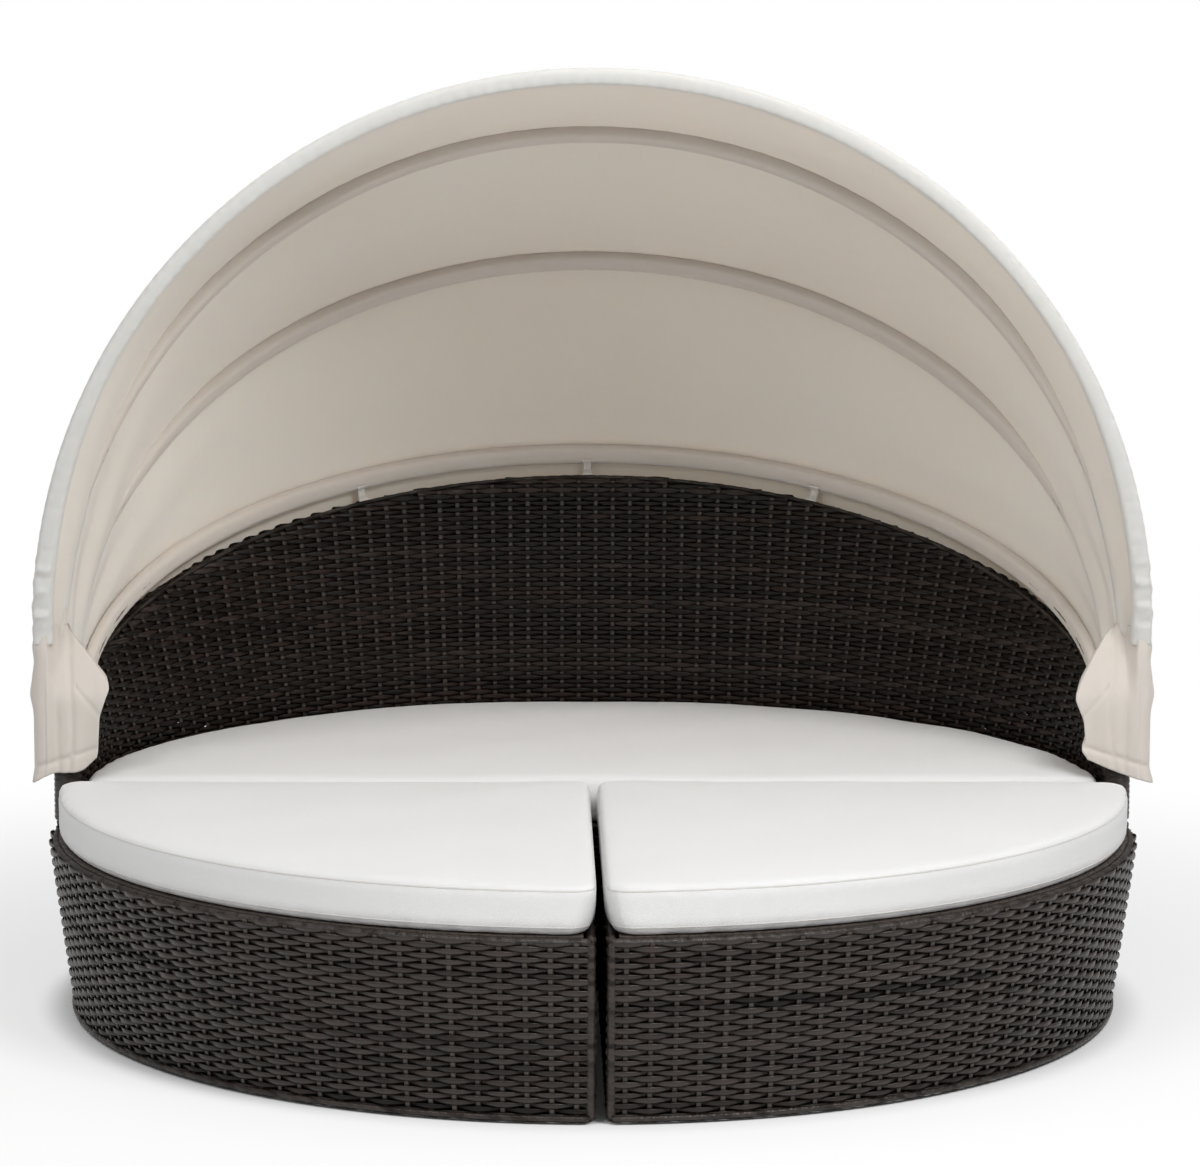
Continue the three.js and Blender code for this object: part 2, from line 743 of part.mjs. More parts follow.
// A folded strip with two ears for the bolt, on a stem that drops into the arm post.
function bowBracket(side) {
  const near = pivotY - bracketWidth / 2;
  const far = pivotY + bracketWidth / 2;
  const top = pivotZ + bracketEarRise;
  const floor = bracketBottom + bracketPlate;
  const inner = stackInner - bracketPlate;
  const outer = stackOuter + bracketPlate;
  const plate = boxSolid(inner, near, bracketBottom, outer, far, floor);
  const innerEar = boxSolid(inner, near, bracketBottom, stackInner, far, top);
  const outerEar = boxSolid(stackOuter, near, bracketBottom, outer, far, top);
  const stemTop = new THREE.Vector3(armEndX, pivotY, bracketBottom + bracketPlate / 2);
  const stemFoot = new THREE.Vector3(armEndX, pivotY, bracketBottom - bracketStemLength);
  const stem = roundBar(stemFoot, stemTop, bracketStemRadius, 10);
  const body = joined([plate, innerEar, outerEar, stem]).subtract(boltHole(cut));
  return toGeometry(side > 0 ? body : body.mirror([1, 0, 0]));
}

// A piece turned on the bolt's axis, between two distances from the middle of the seat.
function onBoltAxis(from, to, radius, sides, side) {
  const start = new THREE.Vector3(side * from, pivotY, pivotZ);
  const end = new THREE.Vector3(side * to, pivotY, pivotZ);
  return roundBar(start, end, radius, sides);
}

function bowBolt(side) {
  const tip = stackInner - bracketPlate - boltRunout;
  const head = onBoltAxis(boltHeadStart, boltHeadStart + boltHeadHeight, boltHeadRadius, 6, side);
  return toGeometry(head.add(onBoltAxis(tip, boltHeadStart + boltHeadHeight / 2, boltRadius, 8, side)));
}

function bowWasher(side, number) {
  const middle = rearBowHalfWidth + bowSpacing * (number - 0.5);
  const from = middle - washerThickness / 2;
  const washer = onBoltAxis(from, from + washerThickness, washerRadius, 10, side);
  return toGeometry(washer.subtract(boltHole(cut)));
}

// Canopy cloth

// The cloth between two bows: it passes over both tubes and hangs a little between them.
function canopyPanel(lower, upper, withHem) {
  const columns = 24;
  const rowShares = [0, 0.25, 0.5, 0.75, 1];
  const pathPoint = (bow, share, offset, turn) => {
    const s = panelStart + (bowLength(bow) - 2 * panelStart) * share;
    return bowPoint(bow, s, offset, turn);
  };
  const rows = [];
  if (withHem) {
    const edge = columnShares(columns).map((share) => pathPoint(lower, share, clothMiddle, rearBowAngle));
    rows.push(edge.map((p) => p.clone().setZ(wallTop(p.y) + hemClearance)));
    rows.push(edge);
  }
  rowShares.forEach((row) => {
    rows.push(columnShares(columns).map((share) => {
      const low = pathPoint(lower, share, clothMiddle, 0);
      const high = pathPoint(upper, share, clothMiddle, 0);
      const trim = panelTrim / low.distanceTo(high);
      const point = low.lerp(high, trim + (1 - 2 * trim) * row);
      const inward = new THREE.Vector3(0, pivotY, pivotZ).sub(point).normalize();
      const sag = panelSag * Math.sin(Math.PI * share) * Math.sin(Math.PI * row);
      return point.addScaledVector(inward, sag);
    }));
  });
  return clothSheet(rows, clothThickness);
}

function columnShares(columns) {
  return Array.from({ length: columns + 1 }, (_, i) => i / columns);
}

// A side flap: cloth that hangs round an arm's end, with soft upright folds.
function sideFlap(side) {
  const path = new THREE.Path();
  const frontInner = flapInnerX + flapCorner;
  const frontOuter = flapOuterX - flapCorner;
  const back = flapFront + flapCorner;
  path.moveTo(flapOuterX, flapOuterDepth);
  path.lineTo(flapOuterX, back);
  path.absarc(frontOuter, back, flapCorner, 0, -Math.PI / 2, true);
  path.lineTo(frontInner, flapFront);
  path.absarc(frontInner, back, flapCorner, -Math.PI / 2, -Math.PI, true);
  path.lineTo(flapInnerX, flapInnerDepth);
  const columns = 30;
  const outline = path.getSpacedPoints(columns);
  const outerReach = path.getLength() - flapInnerDepth - flapCorner;
  const heightShares = [0, 0.3, 0.6, 1];
  const foldCount = 5;
  const rows = heightShares.map((height) => outline.map((p, i) => {
    const along = path.getLength() * i / columns;
    const inner = THREE.MathUtils.smoothstep(along, outerReach - flapCorner * 4, outerReach);
    const outer = THREE.MathUtils.smoothstep(p.x, frontInner, frontOuter);
    const rear = outer * THREE.MathUtils.smoothstep(p.y, back, flapOuterDepth);
    const bottom = flapBottom + (flapInnerBottom - flapBottom) * inner + flapRearRise * rear;
    const fold = flapFold * (1 - height) * Math.sin(2 * Math.PI * foldCount * i / columns);
    const upright = THREE.MathUtils.smoothstep(p.y, flapFront, back);
    const x = p.x + fold * upright;
    const y = p.y + Math.min(fold, 0) * (1 - upright) / 2;
    return new THREE.Vector3(side * x, y, bottom + (flapTop - bottom) * height);
  }));
  if (side < 0) {
    rows.forEach((row) => row.reverse());
  }
  return clothSheet(rows, clothThickness);
}

// A strap that holds the rear bow down: it hooks round the tube and over the inner side of the top roll.
function tieStrap(offset) {
  const bow = bows.rear;
  const angle = Math.acos(offset / bow.halfWidth);
  const tube = bowPoint(bow, bow.leg + bow.halfWidth * angle, 0, 0);
  const bearing = Math.atan2(tube.y, tube.x);
  const tubeOut = Math.hypot(tube.x, tube.y) - wallMidRadius;
  const rollZ = wallTop(wallMidRadius * Math.sin(bearing)) - rollRadius;
  const hold = bowTubeRadius + 2 * strapClearance;
  const rest = rollRadius + strapClearance;
  const inner = [];
  const outer = [];
  const wrap = (cx, cz, radius, from, to) => {
    const steps = 5;
    for (let i = 0; i <= steps; i += 1) {
      const turn = radians(from + (to - from) * i / steps);
      inner.push(new THREE.Vector2(cx + radius * Math.cos(turn), cz + radius * Math.sin(turn)));
      const far = radius + strapThickness;
      outer.push(new THREE.Vector2(cx + far * Math.cos(turn), cz + far * Math.sin(turn)));
    }
  };
  wrap(tubeOut, tube.z, hold, 100, 190);
  wrap(0, rollZ, rest, 110, 185);
  const shape = new THREE.Shape([...inner, ...outer.reverse()]);
  const strap = new THREE.ExtrudeGeometry(shape, { depth: strapWidth, bevelEnabled: false });
  strap.translate(wallMidRadius, -rollZ, -strapWidth / 2);
  strap.rotateX(Math.PI / 2 + Math.atan(wallSlopeShare * Math.cos(bearing)));
  strap.translate(0, 0, rollZ).rotateZ(bearing);
  return toGeometry(toSolid(strap).subtract(topRollBody(fitGap)));
}

// Sections

function addGlides(group, prefix, places) {
  const radius = frameFootRadius - frameTube;
  Object.entries(places).forEach(([name, angle]) => {
    addGlide(group, `${prefix}_glide_${name}`, radius * Math.cos(angle), radius * Math.sin(angle));
  });
}

function addGlide(group, name, x, y) {
  const foot = named(name, glide(), materials.plastic);
  foot.position.set(x, y, 0);
  group.add(foot);
}

function rearSection() {
  const group = new THREE.Group();
  const low = Math.asin((sectionEdge + wickerThickness + frameTube) / frameFootRadius);
  const quarter = Math.PI / 4;
  group.add(
    named('rear_base_frame', toGeometry(sectionFrame(true)), materials.frame),
    named('rear_back_frame', rearBackFrame(), materials.frame),
    named('rear_outer_wicker', rearOuterWicker(), materials.wicker),
    named('rear_inner_wicker', rearInnerWicker(), materials.wicker),
    named('rear_front_wicker', rearFrontWicker(), materials.wicker),
    named('rear_front_rim', rearFrontRim(), materials.wicker),
    named('rear_top_roll', rearTopRoll(), materials.wicker),
    named('rear_left_arm_wicker', armWicker(-1), materials.wicker),
    named('rear_right_arm_wicker', armWicker(1), materials.wicker),
    named('rear_seat_deck', seatDeck(true), materials.wicker),
  );
  addGlides(group, 'rear', {
    right: low,
    back_right: quarter,
    back: 2 * quarter,
    back_left: 3 * quarter,
    left: 4 * quarter - low,
  });
  return group;
}

// A quarter section; the two lists name what its long and short sides, and its low and high glides, face.
function frontSection(name, turn, [longSide, shortSide], [lowGlide, highGlide]) {
  const group = new THREE.Group();
  group.rotation.z = turn;
  const low = Math.asin((sectionEdge + wickerThickness + frameTube) / frameFootRadius);
  group.add(
    named(`${name}_frame`, toGeometry(sectionFrame(false)), materials.frame),
    named(`${name}_outer_wicker`, frontOuterWicker(), materials.wicker),
    named(`${name}_${longSide}_wicker`, frontLongWicker(), materials.wicker),
    named(`${name}_${shortSide}_wicker`, frontShortWicker(), materials.wicker),
    named(`${name}_top_rim`, frontTopRim(), materials.wicker),
    named(`${name}_seat_deck`, seatDeck(false), materials.wicker),
  );
  const quarter = Math.PI / 4;
  addGlides(group, name, { [lowGlide]: low, middle: quarter, [highGlide]: 2 * quarter - low });
  const center = sectionEdge + 2 * rimRollRadius + fitGap + frameTube / 2;
  addGlide(group, `${name}_glide_center`, center, center);
  return group;
}

function cushions() {
  const group = new THREE.Group();
  const rearPlan = {
    radius: rearCushionRadius,
    edge: rearCushionEdge,
    corner: cushionCorner,
    centerCorner: 0,
    half: true,
  };
  const frontPlan = {
    radius: frontCushionRadius,
    edge: frontCushionEdge,
    corner: cushionCorner,
    centerCorner: cushionCenterCorner,
    half: false,
  };
  const left = named('front_left_cushion', cushion(frontPlan, 16), materials.cushion);
  left.rotation.z = Math.PI;
  const right = named('front_right_cushion', cushion(frontPlan, 16), materials.cushion);
  right.rotation.z = -Math.PI / 2;
  group.add(named('rear_cushion', cushion(rearPlan, 28), materials.cushion), left, right);
  return group;
}

function pivots() {
  const group = new THREE.Group();
  const sides = { left: -1, right: 1 };
  Object.entries(sides).forEach(([name, side]) => {
    group.add(
      named(`${name}_bow_bracket`, bowBracket(side), materials.steel),
      named(`${name}_bow_bolt`, bowBolt(side), materials.steel),
      named(`${name}_side_flap`, sideFlap(side), materials.canopy),
    );
    for (let number = 1; number <= 3; number += 1) {
      group.add(named(`${name}_bow_washer_${number}`, bowWasher(side, number), materials.steel));
    }
  });
  return group;
}

function canopy() {
  const group = new THREE.Group();
  group.add(
    named('rear_bow', bowTube(bows.rear), materials.bow),
    named('middle_rear_bow', bowTube(bows.middleRear), materials.bow),
    named('middle_front_bow', bowTube(bows.middleFront), materials.bow),
    named('front_bow', bowTube(bows.front), materials.bow),
    named('canopy_rear_panel', canopyPanel(bows.rear, bows.middleRear, true), materials.canopy),
    named('canopy_middle_panel', canopyPanel(bows.middleRear, bows.middleFront, false), materials.canopy),
    named('canopy_front_panel', canopyPanel(bows.middleFront, bows.front, false), materials.canopy),
    named('left_tie_strap', tieStrap(-strapOffset), materials.canopy),
    named('middle_tie_strap', tieStrap(0), materials.canopy),
    named('right_tie_strap', tieStrap(strapOffset), materials.canopy),
  );
  return group;
}

const daybed = new THREE.Group();
daybed.add(
  rearSection(),
  frontSection('front_left', Math.PI, ['side', 'back'], ['arm', 'front']),
  frontSection('front_right', -Math.PI / 2, ['back', 'side'], ['front', 'arm']),
  cushions(),
  pivots(),
  canopy(),
);

export default daybed;
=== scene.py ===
import math

import bmesh
import bpy
import numpy as np
from mathutils import Matrix, Vector
from mathutils.bvhtree import BVHTree


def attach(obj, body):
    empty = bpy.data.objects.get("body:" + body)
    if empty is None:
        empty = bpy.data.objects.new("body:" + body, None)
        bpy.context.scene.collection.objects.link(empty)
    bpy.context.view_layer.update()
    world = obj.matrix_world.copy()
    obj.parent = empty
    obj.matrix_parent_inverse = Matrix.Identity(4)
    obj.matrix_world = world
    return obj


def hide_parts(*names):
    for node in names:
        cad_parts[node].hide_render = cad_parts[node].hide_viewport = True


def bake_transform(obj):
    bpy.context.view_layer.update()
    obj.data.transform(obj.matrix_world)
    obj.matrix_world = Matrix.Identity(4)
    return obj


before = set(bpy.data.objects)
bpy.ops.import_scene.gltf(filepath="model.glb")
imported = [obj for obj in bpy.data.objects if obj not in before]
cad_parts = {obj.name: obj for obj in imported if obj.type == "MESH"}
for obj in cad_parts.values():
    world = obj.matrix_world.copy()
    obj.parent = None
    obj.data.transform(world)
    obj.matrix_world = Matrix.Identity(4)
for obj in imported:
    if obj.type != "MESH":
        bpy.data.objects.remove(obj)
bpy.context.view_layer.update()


# Base frames: each of the three sections stands on a welded frame of 25 mm square steel tube, powder
# coated dark brown. Seven posts and a bent rail carry the rear section's back wall.

class Wire:
    """A value that runs through a node tree: sums and products of wires add the Math nodes."""

    def __init__(self, tree, socket):
        self.tree = tree
        self.socket = socket

    def math(self, operation, *others):
        return add(self.tree, "ShaderNodeMath", dict(enumerate((self, *others))), operation=operation)

    def __add__(self, other):
        return self.math("ADD", other)

    def __sub__(self, other):
        return self.math("SUBTRACT", other)

    def __mul__(self, other):
        return self.math("MULTIPLY", other)

    def __truediv__(self, other):
        return self.math("DIVIDE", other)

    def __neg__(self):
        return self * -1.0

    def __rsub__(self, other):
        return -self + other

    __radd__ = __add__
    __rmul__ = __mul__


def fill(node, inputs):
    """Plugs wires into a node's sockets, and sets the sockets that take a plain value."""
    for label, value in inputs.items():
        if isinstance(value, Wire):
            value.tree.links.new(value.socket, node.inputs[label])
        else:
            node.inputs[label].default_value = value


def add(tree, kind, inputs, output=0, **modes):
    """Adds a node with its modes and inputs, and returns one of its outputs as a wire."""
    node = tree.nodes.new(kind)
    for label, value in modes.items():
        setattr(node, label, value)
    fill(node, inputs)
    return Wire(tree, node.outputs[output])


def parts(place):
    """The three numbers of a place."""
    split = add(place.tree, "ShaderNodeSeparateXYZ", {0: place}).socket.node
    return [Wire(place.tree, socket) for socket in split.outputs]


def linear(red, green, blue):
    """A colour as a screen shows it, 0 to 255, in the linear numbers that shaders take."""
    def one(c):
        c /= 255
        return c / 12.92 if c <= 0.04045 else ((c + 0.055) / 1.055) ** 2.4
    return (one(red), one(green), one(blue), 1.0)


def new_finish(name):
    """An empty material: returns it with its surface shader and the place on the piece."""
    finish = bpy.data.materials.new(name)
    finish.use_nodes = True
    tree = finish.node_tree
    return finish, tree.nodes["Principled BSDF"], add(tree, "ShaderNodeTexCoord", {}, "Object")


def noise(place, scale, detail=2.0):
    return add(place.tree, "ShaderNodeTexNoise", {"Vector": place, "Scale": scale, "Detail": detail}, "Fac")


def blend_colors(share, first, second):
    inputs = {"Factor": share, "A": first, "B": second}
    return add(share.tree, "ShaderNodeMix", inputs, "Result", data_type="RGBA")


def spread(value, low, high, to_low=0.0, to_high=1.0):
    """Maps a range onto another with soft ends."""
    inputs = {"Value": value, "From Min": low, "From Max": high, "To Min": to_low, "To Max": to_high}
    return add(value.tree, "ShaderNodeMapRange", inputs, "Result", interpolation_type="SMOOTHSTEP")


def relief(shader, height, depth):
    """Raises the surface in the shading by a height of 0 to 1, depth metres high."""
    inputs = {"Strength": 1.0, "Distance": depth, "Height": height}
    fill(shader, {"Normal": add(height.tree, "ShaderNodeBump", inputs)})


def coated_metal(name, color, worn, metallic, roughness):
    """Powder coat or anodised tube: fine orange peel, and a little uneven wear."""
    finish, shader, place = new_finish(name)
    wear = spread(noise(place, 14.0, 4.0), 0.45, 0.75)
    fill(shader, {
        "Base Color": blend_colors(wear, color, worn),
        "Roughness": wear * 0.15 + roughness,
        "Metallic": metallic,
    })
    relief(shader, noise(place, 900.0, 1.0), 0.00012)
    return finish


def dress(nodes, finish):
    """Gives CAD nodes that stay visible their finish."""
    for name in nodes:
        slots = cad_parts[name].data.materials
        slots.clear()
        slots.append(finish)


frame_coat = coated_metal("frame_coat", linear(52, 46, 43), linear(66, 58, 53), 0.3, 0.45)
dress(["rear_base_frame", "rear_back_frame", "front_left_frame", "front_right_frame"], frame_coat)


# Glides: round black plastic feet, pressed into the lower ring of each frame. They are scuffed where
# they slide over the patio.

glide_plastic = coated_metal("glide_plastic", linear(34, 33, 32), linear(58, 56, 54), 0.0, 0.6)
dress([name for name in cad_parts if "_glide_" in name], glide_plastic)


# Wicker skins: flat resin strands woven over upright stakes round each frame. The rows run level; every
# strand passes in front of one stake and behind the next, and narrows where it dives. Dark strips stand
# behind them as painted shade for the shaded hollow inside the skin, so that little daylight comes through.

SEAT_RADIUS = 0.900
FOOT_RADIUS = 0.861
BASE_HEIGHT = 0.287
SKIN = 0.008
SKIN_TOP = 0.2800
SEAM = 0.008
HEM = 0.006
BASE_ROWS = 33
QUARTER = math.pi / 2
SECTION_RADIUS = 0.1  # of a tube on the ladder, before it is laid on the surface
STAKE_STEP = 0.03
STAKE_HALF_THICK = 0.0015
SLAT_HALF_THICK = 0.0008
ROW_WOBBLE = 0.0008
STRAND = {
    "Row Pitch": 0.00835,
    "First Row Height": 0.0115,
    "Strand Half Width": 0.0053,
    "Strand Tip": 0.0019,
    "Strand Half Thickness": 0.0012,
    "Wave": 0.0038,
    "Stake Half Width": 0.0046,
    "Slat Depth": 0.0062,
    "Slat Share": 0.51,
    "Slat Start": 0.002,
    "Tone": 1.0,
    "Stake Tone": 1.0,
}


def new_tree(name, sizes):
    """A geometry tree with named sizes. Returns the tree, its size wires and its output node."""
    tree = bpy.data.node_groups.new(name, "GeometryNodeTree")
    tree.interface.new_socket("Geometry", in_out="OUTPUT", socket_type="NodeSocketGeometry")
    for label, value in sizes.items():
        kind = "NodeSocketInt" if isinstance(value, int) else "NodeSocketFloat"
        tree.interface.new_socket(label, in_out="INPUT", socket_type=kind)
    source = tree.nodes.new("NodeGroupInput")
    wires = {label: Wire(tree, source.outputs[label]) for label in sizes}
    return tree, wires, tree.nodes.new("NodeGroupOutput")


def new_piece(name, mesh):
    """A new object in the scene, at the origin."""
    piece = bpy.data.objects.new(name, mesh)
    bpy.context.scene.collection.objects.link(piece)
    return piece


def bake(piece):
    """Replaces a piece's mesh by what its modifiers make of it."""
    reader = bpy.context.evaluated_depsgraph_get()
    made = bpy.data.meshes.new_from_object(
        piece.evaluated_get(reader), preserve_all_data_layers=True, depsgraph=reader)
    piece.modifiers.clear()
    piece.data = made
    made.name = piece.name


def write(shape, mesh):
    """Puts an edited shape into a mesh."""
    shape.to_mesh(mesh)
    shape.free()
    return mesh


def grow(name, tree, sizes):
    """Runs a geometry tree once with its sizes and returns the result as a plain mesh piece."""
    piece = new_piece(name, bpy.data.meshes.new(name))
    modifier = piece.modifiers.new("shape", "NODES")
    modifier.node_group = tree
    for item in tree.interface.items_tree:
        if item.in_out == "INPUT":
            modifier[item.identifier] = sizes[item.name]
    bake(piece)
    return piece


def place_piece(piece, body, node=None):
    """Hides the CAD node that a piece stands for, and hangs the piece on the body it moves with."""
    if node:
        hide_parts(node)
    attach(piece, body)


def point_of(tree):
    return parts(add(tree, "GeometryNodeInputPosition", {}))


def vector(x, y, z):
    return add(x.tree, "ShaderNodeCombineXYZ", {0: x, 1: y, 2: z})


def moved(shape, place):
    """The shape with its points at new places."""
    return add(shape.tree, "GeometryNodeSetPosition", {"Geometry": shape, "Position": place})


def marked(shape, label, value):
    """The shape with a number stored on its points, for its material."""
    return add(shape.tree, "GeometryNodeStoreNamedAttribute",
               {"Geometry": shape, "Name": label, "Value": value}, data_type="FLOAT", domain="POINT")


def ladder(tree, count):
    """Straight lines from x 0 to x 1, side by side at y 0, 1, 2 and so on."""
    points = add(tree, "GeometryNodeMeshLine", {"Count": count, "Offset": (0.0, 1.0, 0.0)})
    line = add(tree, "GeometryNodeCurvePrimitiveLine", {"End": (1.0, 0.0, 0.0)})
    copies = add(tree, "GeometryNodeInstanceOnPoints", {"Points": points, "Instance": line})
    return add(tree, "GeometryNodeRealizeInstances", {0: copies})


def tubes(lines, step, sides):
    """Closed tubes of the section radius along the lines, with a ring of points every step."""
    tree = lines.tree
    fine = add(tree, "GeometryNodeResampleCurve", {"Curve": lines, "Length": step}, mode="LENGTH")
    ring = add(tree, "GeometryNodeCurvePrimitiveCircle", {"Resolution": sides, "Radius": SECTION_RADIUS})
    return add(tree, "GeometryNodeCurveToMesh", {"Curve": fine, "Profile Curve": ring, "Fill Caps": True})


def lane(tree):
    """Splits a tube point of the ladder: place along, number of the line, and place in the section."""
    x, y, z = point_of(tree)
    number = (y + 0.5).math("FLOOR")
    return x, number, (y - number) * (1 / SECTION_RADIUS), z * (1 / SECTION_RADIUS)


def chance(number, salt):
    """A fixed random number from 0 to 1 for each line of the ladder."""
    return ((number * 12.9898 + salt).math("SINE") * 43758.5453).math("FRACT")


def finished(target, shapes, finish):
    """Joins the shapes, smooths their shading, gives them their material and ends the tree."""
    tree = shapes[0].tree
    join = tree.nodes.new("GeometryNodeJoinGeometry")
    for shape in shapes:
        fill(join, {0: shape})
    real = add(tree, "GeometryNodeRealizeInstances", {0: Wire(tree, join.outputs[0])})
    smooth_shape = add(tree, "GeometryNodeSetShadeSmooth", {0: real})
    fill(target, {"Geometry": add(tree, "GeometryNodeSetMaterial",
                                  {"Geometry": smooth_shape, "Material": finish})})


def strand_finish():
    """Extruded resin strand: dark grey brown, each strand a little different, finely grooved."""
    finish, shader, place = new_finish("wicker_resin")
    tone, across = [add(place.tree, "ShaderNodeAttribute", {}, "Fac", attribute_name=label)
                    for label in ("tone", "across")]
    patch = noise(place, 6.0, 3.0)
    color = blend_colors(tone, linear(18, 14, 12), linear(60, 51, 45))
    warm = spread((tone * 7.3 + patch).math("FRACT"), 0.62, 0.95)
    color = blend_colors(warm * 0.6, color, linear(54, 42, 37))
    grain = noise(place, 420.0, 3.0)
    fill(shader, {
        # A tone above 1, which only the stakes carry, blends towards a light brown: painted highlight for
        # the glints on the stakes.
        "Base Color": blend_colors(spread(tone, 1.0, 1.5), color, linear(92, 83, 75)),
        "Roughness": grain * 0.14 + 0.29,
        "Specular IOR Level": spread(tone, 0.0, 0.5, 0.16, 0.48),
    })
    streaks = (across * 9.0).math("SINE")
    relief(shader, streaks * 0.25 + grain * 0.5, 0.0005)
    return finish


wicker_resin = strand_finish()


def weave(name, sizes, row_ends, stake_ends, place, sides=6, shares=6.0):
    """A woven skin: rows of strands over stakes, laid on a surface by place(size, along, z, out)."""
    tree, size, target = new_tree(name, sizes)
    first = size["First Row Number"]
    pitch = size["Stake Pitch"]
    x, y, _ = point_of(tree)
    start, end = row_ends(size, (y + first) * size["Row Pitch"] + size["First Row Height"])
    lines = moved(ladder(tree, size["Rows"]), vector(start + (end - start) * x, y, 0.0))
    body = tubes(lines, pitch / shares, sides)
    along, row, flat, deep = lane(tree)
    row = row + first
    beat = along / pitch + row - 0.5
    wave = (beat * math.pi).math("COSINE")
    lens = ((wave + 1.0) * 0.5).math("POWER", 0.8)
    own = noise(vector(along * 9.0, row * 3.7, 0.0), 1.0, 1.0)
    row_chance = chance(row, 9.7)
    broad = row_chance * 0.34 + own * 0.12 + 0.76
    half = (size["Strand Tip"] + lens * (size["Strand Half Width"] - size["Strand Tip"])) * broad
    out = wave * size["Wave"] + deep * size["Strand Half Thickness"] * (lens * 0.4 + 0.75)
    wobble = (chance(row, 3.1) - 0.5) * ROW_WOBBLE
    z = row * size["Row Pitch"] + size["First Row Height"] + wobble + flat * half
    knot = (beat + 1.0).math("MULTIPLY", 0.5).math("FLOOR")
    own_tone = chance(row * 7.0 + (knot * 0.16).math("FLOOR"), 0.7)
    band = spread(noise(vector(along * 0.5, row * 0.28, 0.0), 1.0, 1.0), 0.36, 0.64)
    tone = (own_tone * 0.3 + own * 0.15 + row_chance * 0.2 + band * 0.35) * size["Tone"]
    body = marked(marked(body, "across", flat), "tone", tone)
    body = moved(body, place(size, along, z, out))

    def uprights(count, side_count, tone_of, spot_of, out_of):
        """Strips from end to end of the stakes, each number placed along the skin by spot_of."""
        x, y, _ = point_of(tree)
        low, high = stake_ends(size, (y + 0.5) * pitch)
        strips = moved(ladder(tree, count), vector(low + (high - low) * x, y, 0.0))
        up, number, flat, deep = lane(tree)
        strips = marked(tubes(strips, STAKE_STEP, side_count), "across", flat)
        strips = marked(strips, "tone", tone_of(number))
        return moved(strips, place(size, spot_of(number, flat), up, out_of(deep)))

    def slat_spot(number, flat):
        spot = number * pitch + flat * pitch * size["Slat Share"]
        return spot.math("MAXIMUM", size["Slat Start"]).math("MINIMUM", pitch * (size["Stakes"] - 0.2))

    stakes = uprights(
        size["Stakes"], 6,
        # The stakes' tone starts at Stake Tone, so that their colour carries the painted highlight.
        lambda number: chance(number, 5.3) * 0.3 + size["Stake Tone"],
        lambda number, flat: (number + 0.5) * pitch + flat * size["Stake Half Width"],
        lambda deep: deep * STAKE_HALF_THICK)
    # Painted shade: dark strips of tone 0 behind the weave, in place of the shaded hollow inside the skin.
    shade_strips = uprights(
        size["Stakes"] + 1.0, 4, lambda number: 0.0, slat_spot,
        lambda deep: deep * SLAT_HALF_THICK - size["Slat Depth"])
    finished(target, [body, stakes, shade_strips], wicker_resin)
    return tree


def lean_radius(size, z):
    """Outside radius of the curved skin: it leans inwards from the seat down to the floor."""
    share = (z / BASE_HEIGHT).math("MINIMUM", 1.0)
    return size["Foot Radius"] + (size["Seat Radius"] - size["Foot Radius"]) * share


def turned(radius, angle, z):
    return vector(radius * angle.math("COSINE"), radius * angle.math("SINE"), z)


def round_place(size, along, z, out):
    angle = along / size["Seat Radius"] + size["First Angle"]
    return turned(lean_radius(size, z) - SKIN / 2 + out, angle, z)


def level_ends(size, z):
    return z * 0.0, size["Length"] + z * 0.0


def full_stakes(size, along):
    return along * 0.0 + size["Low End"], along * 0.0 + size["High End"]


def round_sizes(first_angle, span, stakes, high=SKIN_TOP):
    length = span * SEAT_RADIUS
    return STRAND | {
        "Rows": BASE_ROWS,
        "First Row Number": 0,
        "Stakes": stakes,
        "Stake Pitch": length / stakes,
        "Length": length,
        "First Angle": first_angle,
        "Seat Radius": SEAT_RADIUS,
        "Foot Radius": FOOT_RADIUS,
        "Low End": HEM,
        "High End": high,
    }


seam_angle = math.asin((SEAM + 0.010) / SEAT_RADIUS)
quarter_span = QUARTER - 2 * seam_angle
half_span = math.pi - 2 * seam_angle
quarter_sizes = round_sizes(seam_angle, quarter_span, 36)
round_base = weave("round_base_weave", quarter_sizes, level_ends, full_stakes, round_place)
front_sides = (("front_left", math.pi), ("front_right", 1.5 * math.pi))
for side, turn in front_sides:
    skin = grow(f"{side}_curved_weave", round_base, quarter_sizes | {"First Angle": seam_angle + turn})
    place_piece(skin, f"{side}_section", f"{side}_outer_wicker")
skin = grow("rear_base_weave", round_base, round_sizes(seam_angle, half_span, 74, BASE_HEIGHT))
place_piece(skin, "rear_section", "rear_outer_wicker")


# Back wall: the same weave carried up on both faces of the posts to a crest that rises to the rear. On
# the inner face the stakes fan out towards the arms.

CREST_AT_ARMS = 0.472
CREST_SLOPE = 0.32 / 0.9
ROLL_RADIUS = 0.0225
ARM_Y = 0.0305
WALL_MID = 0.8775
CREST_LAP = 0.0075
WALL_ROWS = 59
ARM_X = math.sqrt(WALL_MID ** 2 - ARM_Y ** 2)


def fan(size, along, z):
    """How far a stake has moved towards its arm at a height."""
    off = (along - size["Length"] / 2) / size["Wall Radius"]
    side = off.math("SINE")
    lean = (side * side * side.math("SIGN") * size["Fan"] / (off.math("COSINE").math("MAXIMUM", 0.35)))
    near_end = spread(off.math("ABSOLUTE"), 1.15, 1.5, 1.0, 0.0)
    return lean * near_end * (z - size["Low End"])


def crest_height(size, along):
    angle = along / size["Wall Radius"] + size["First Angle"]
    return CREST_AT_ARMS - CREST_LAP + angle.math("SINE") * WALL_MID * CREST_SLOPE


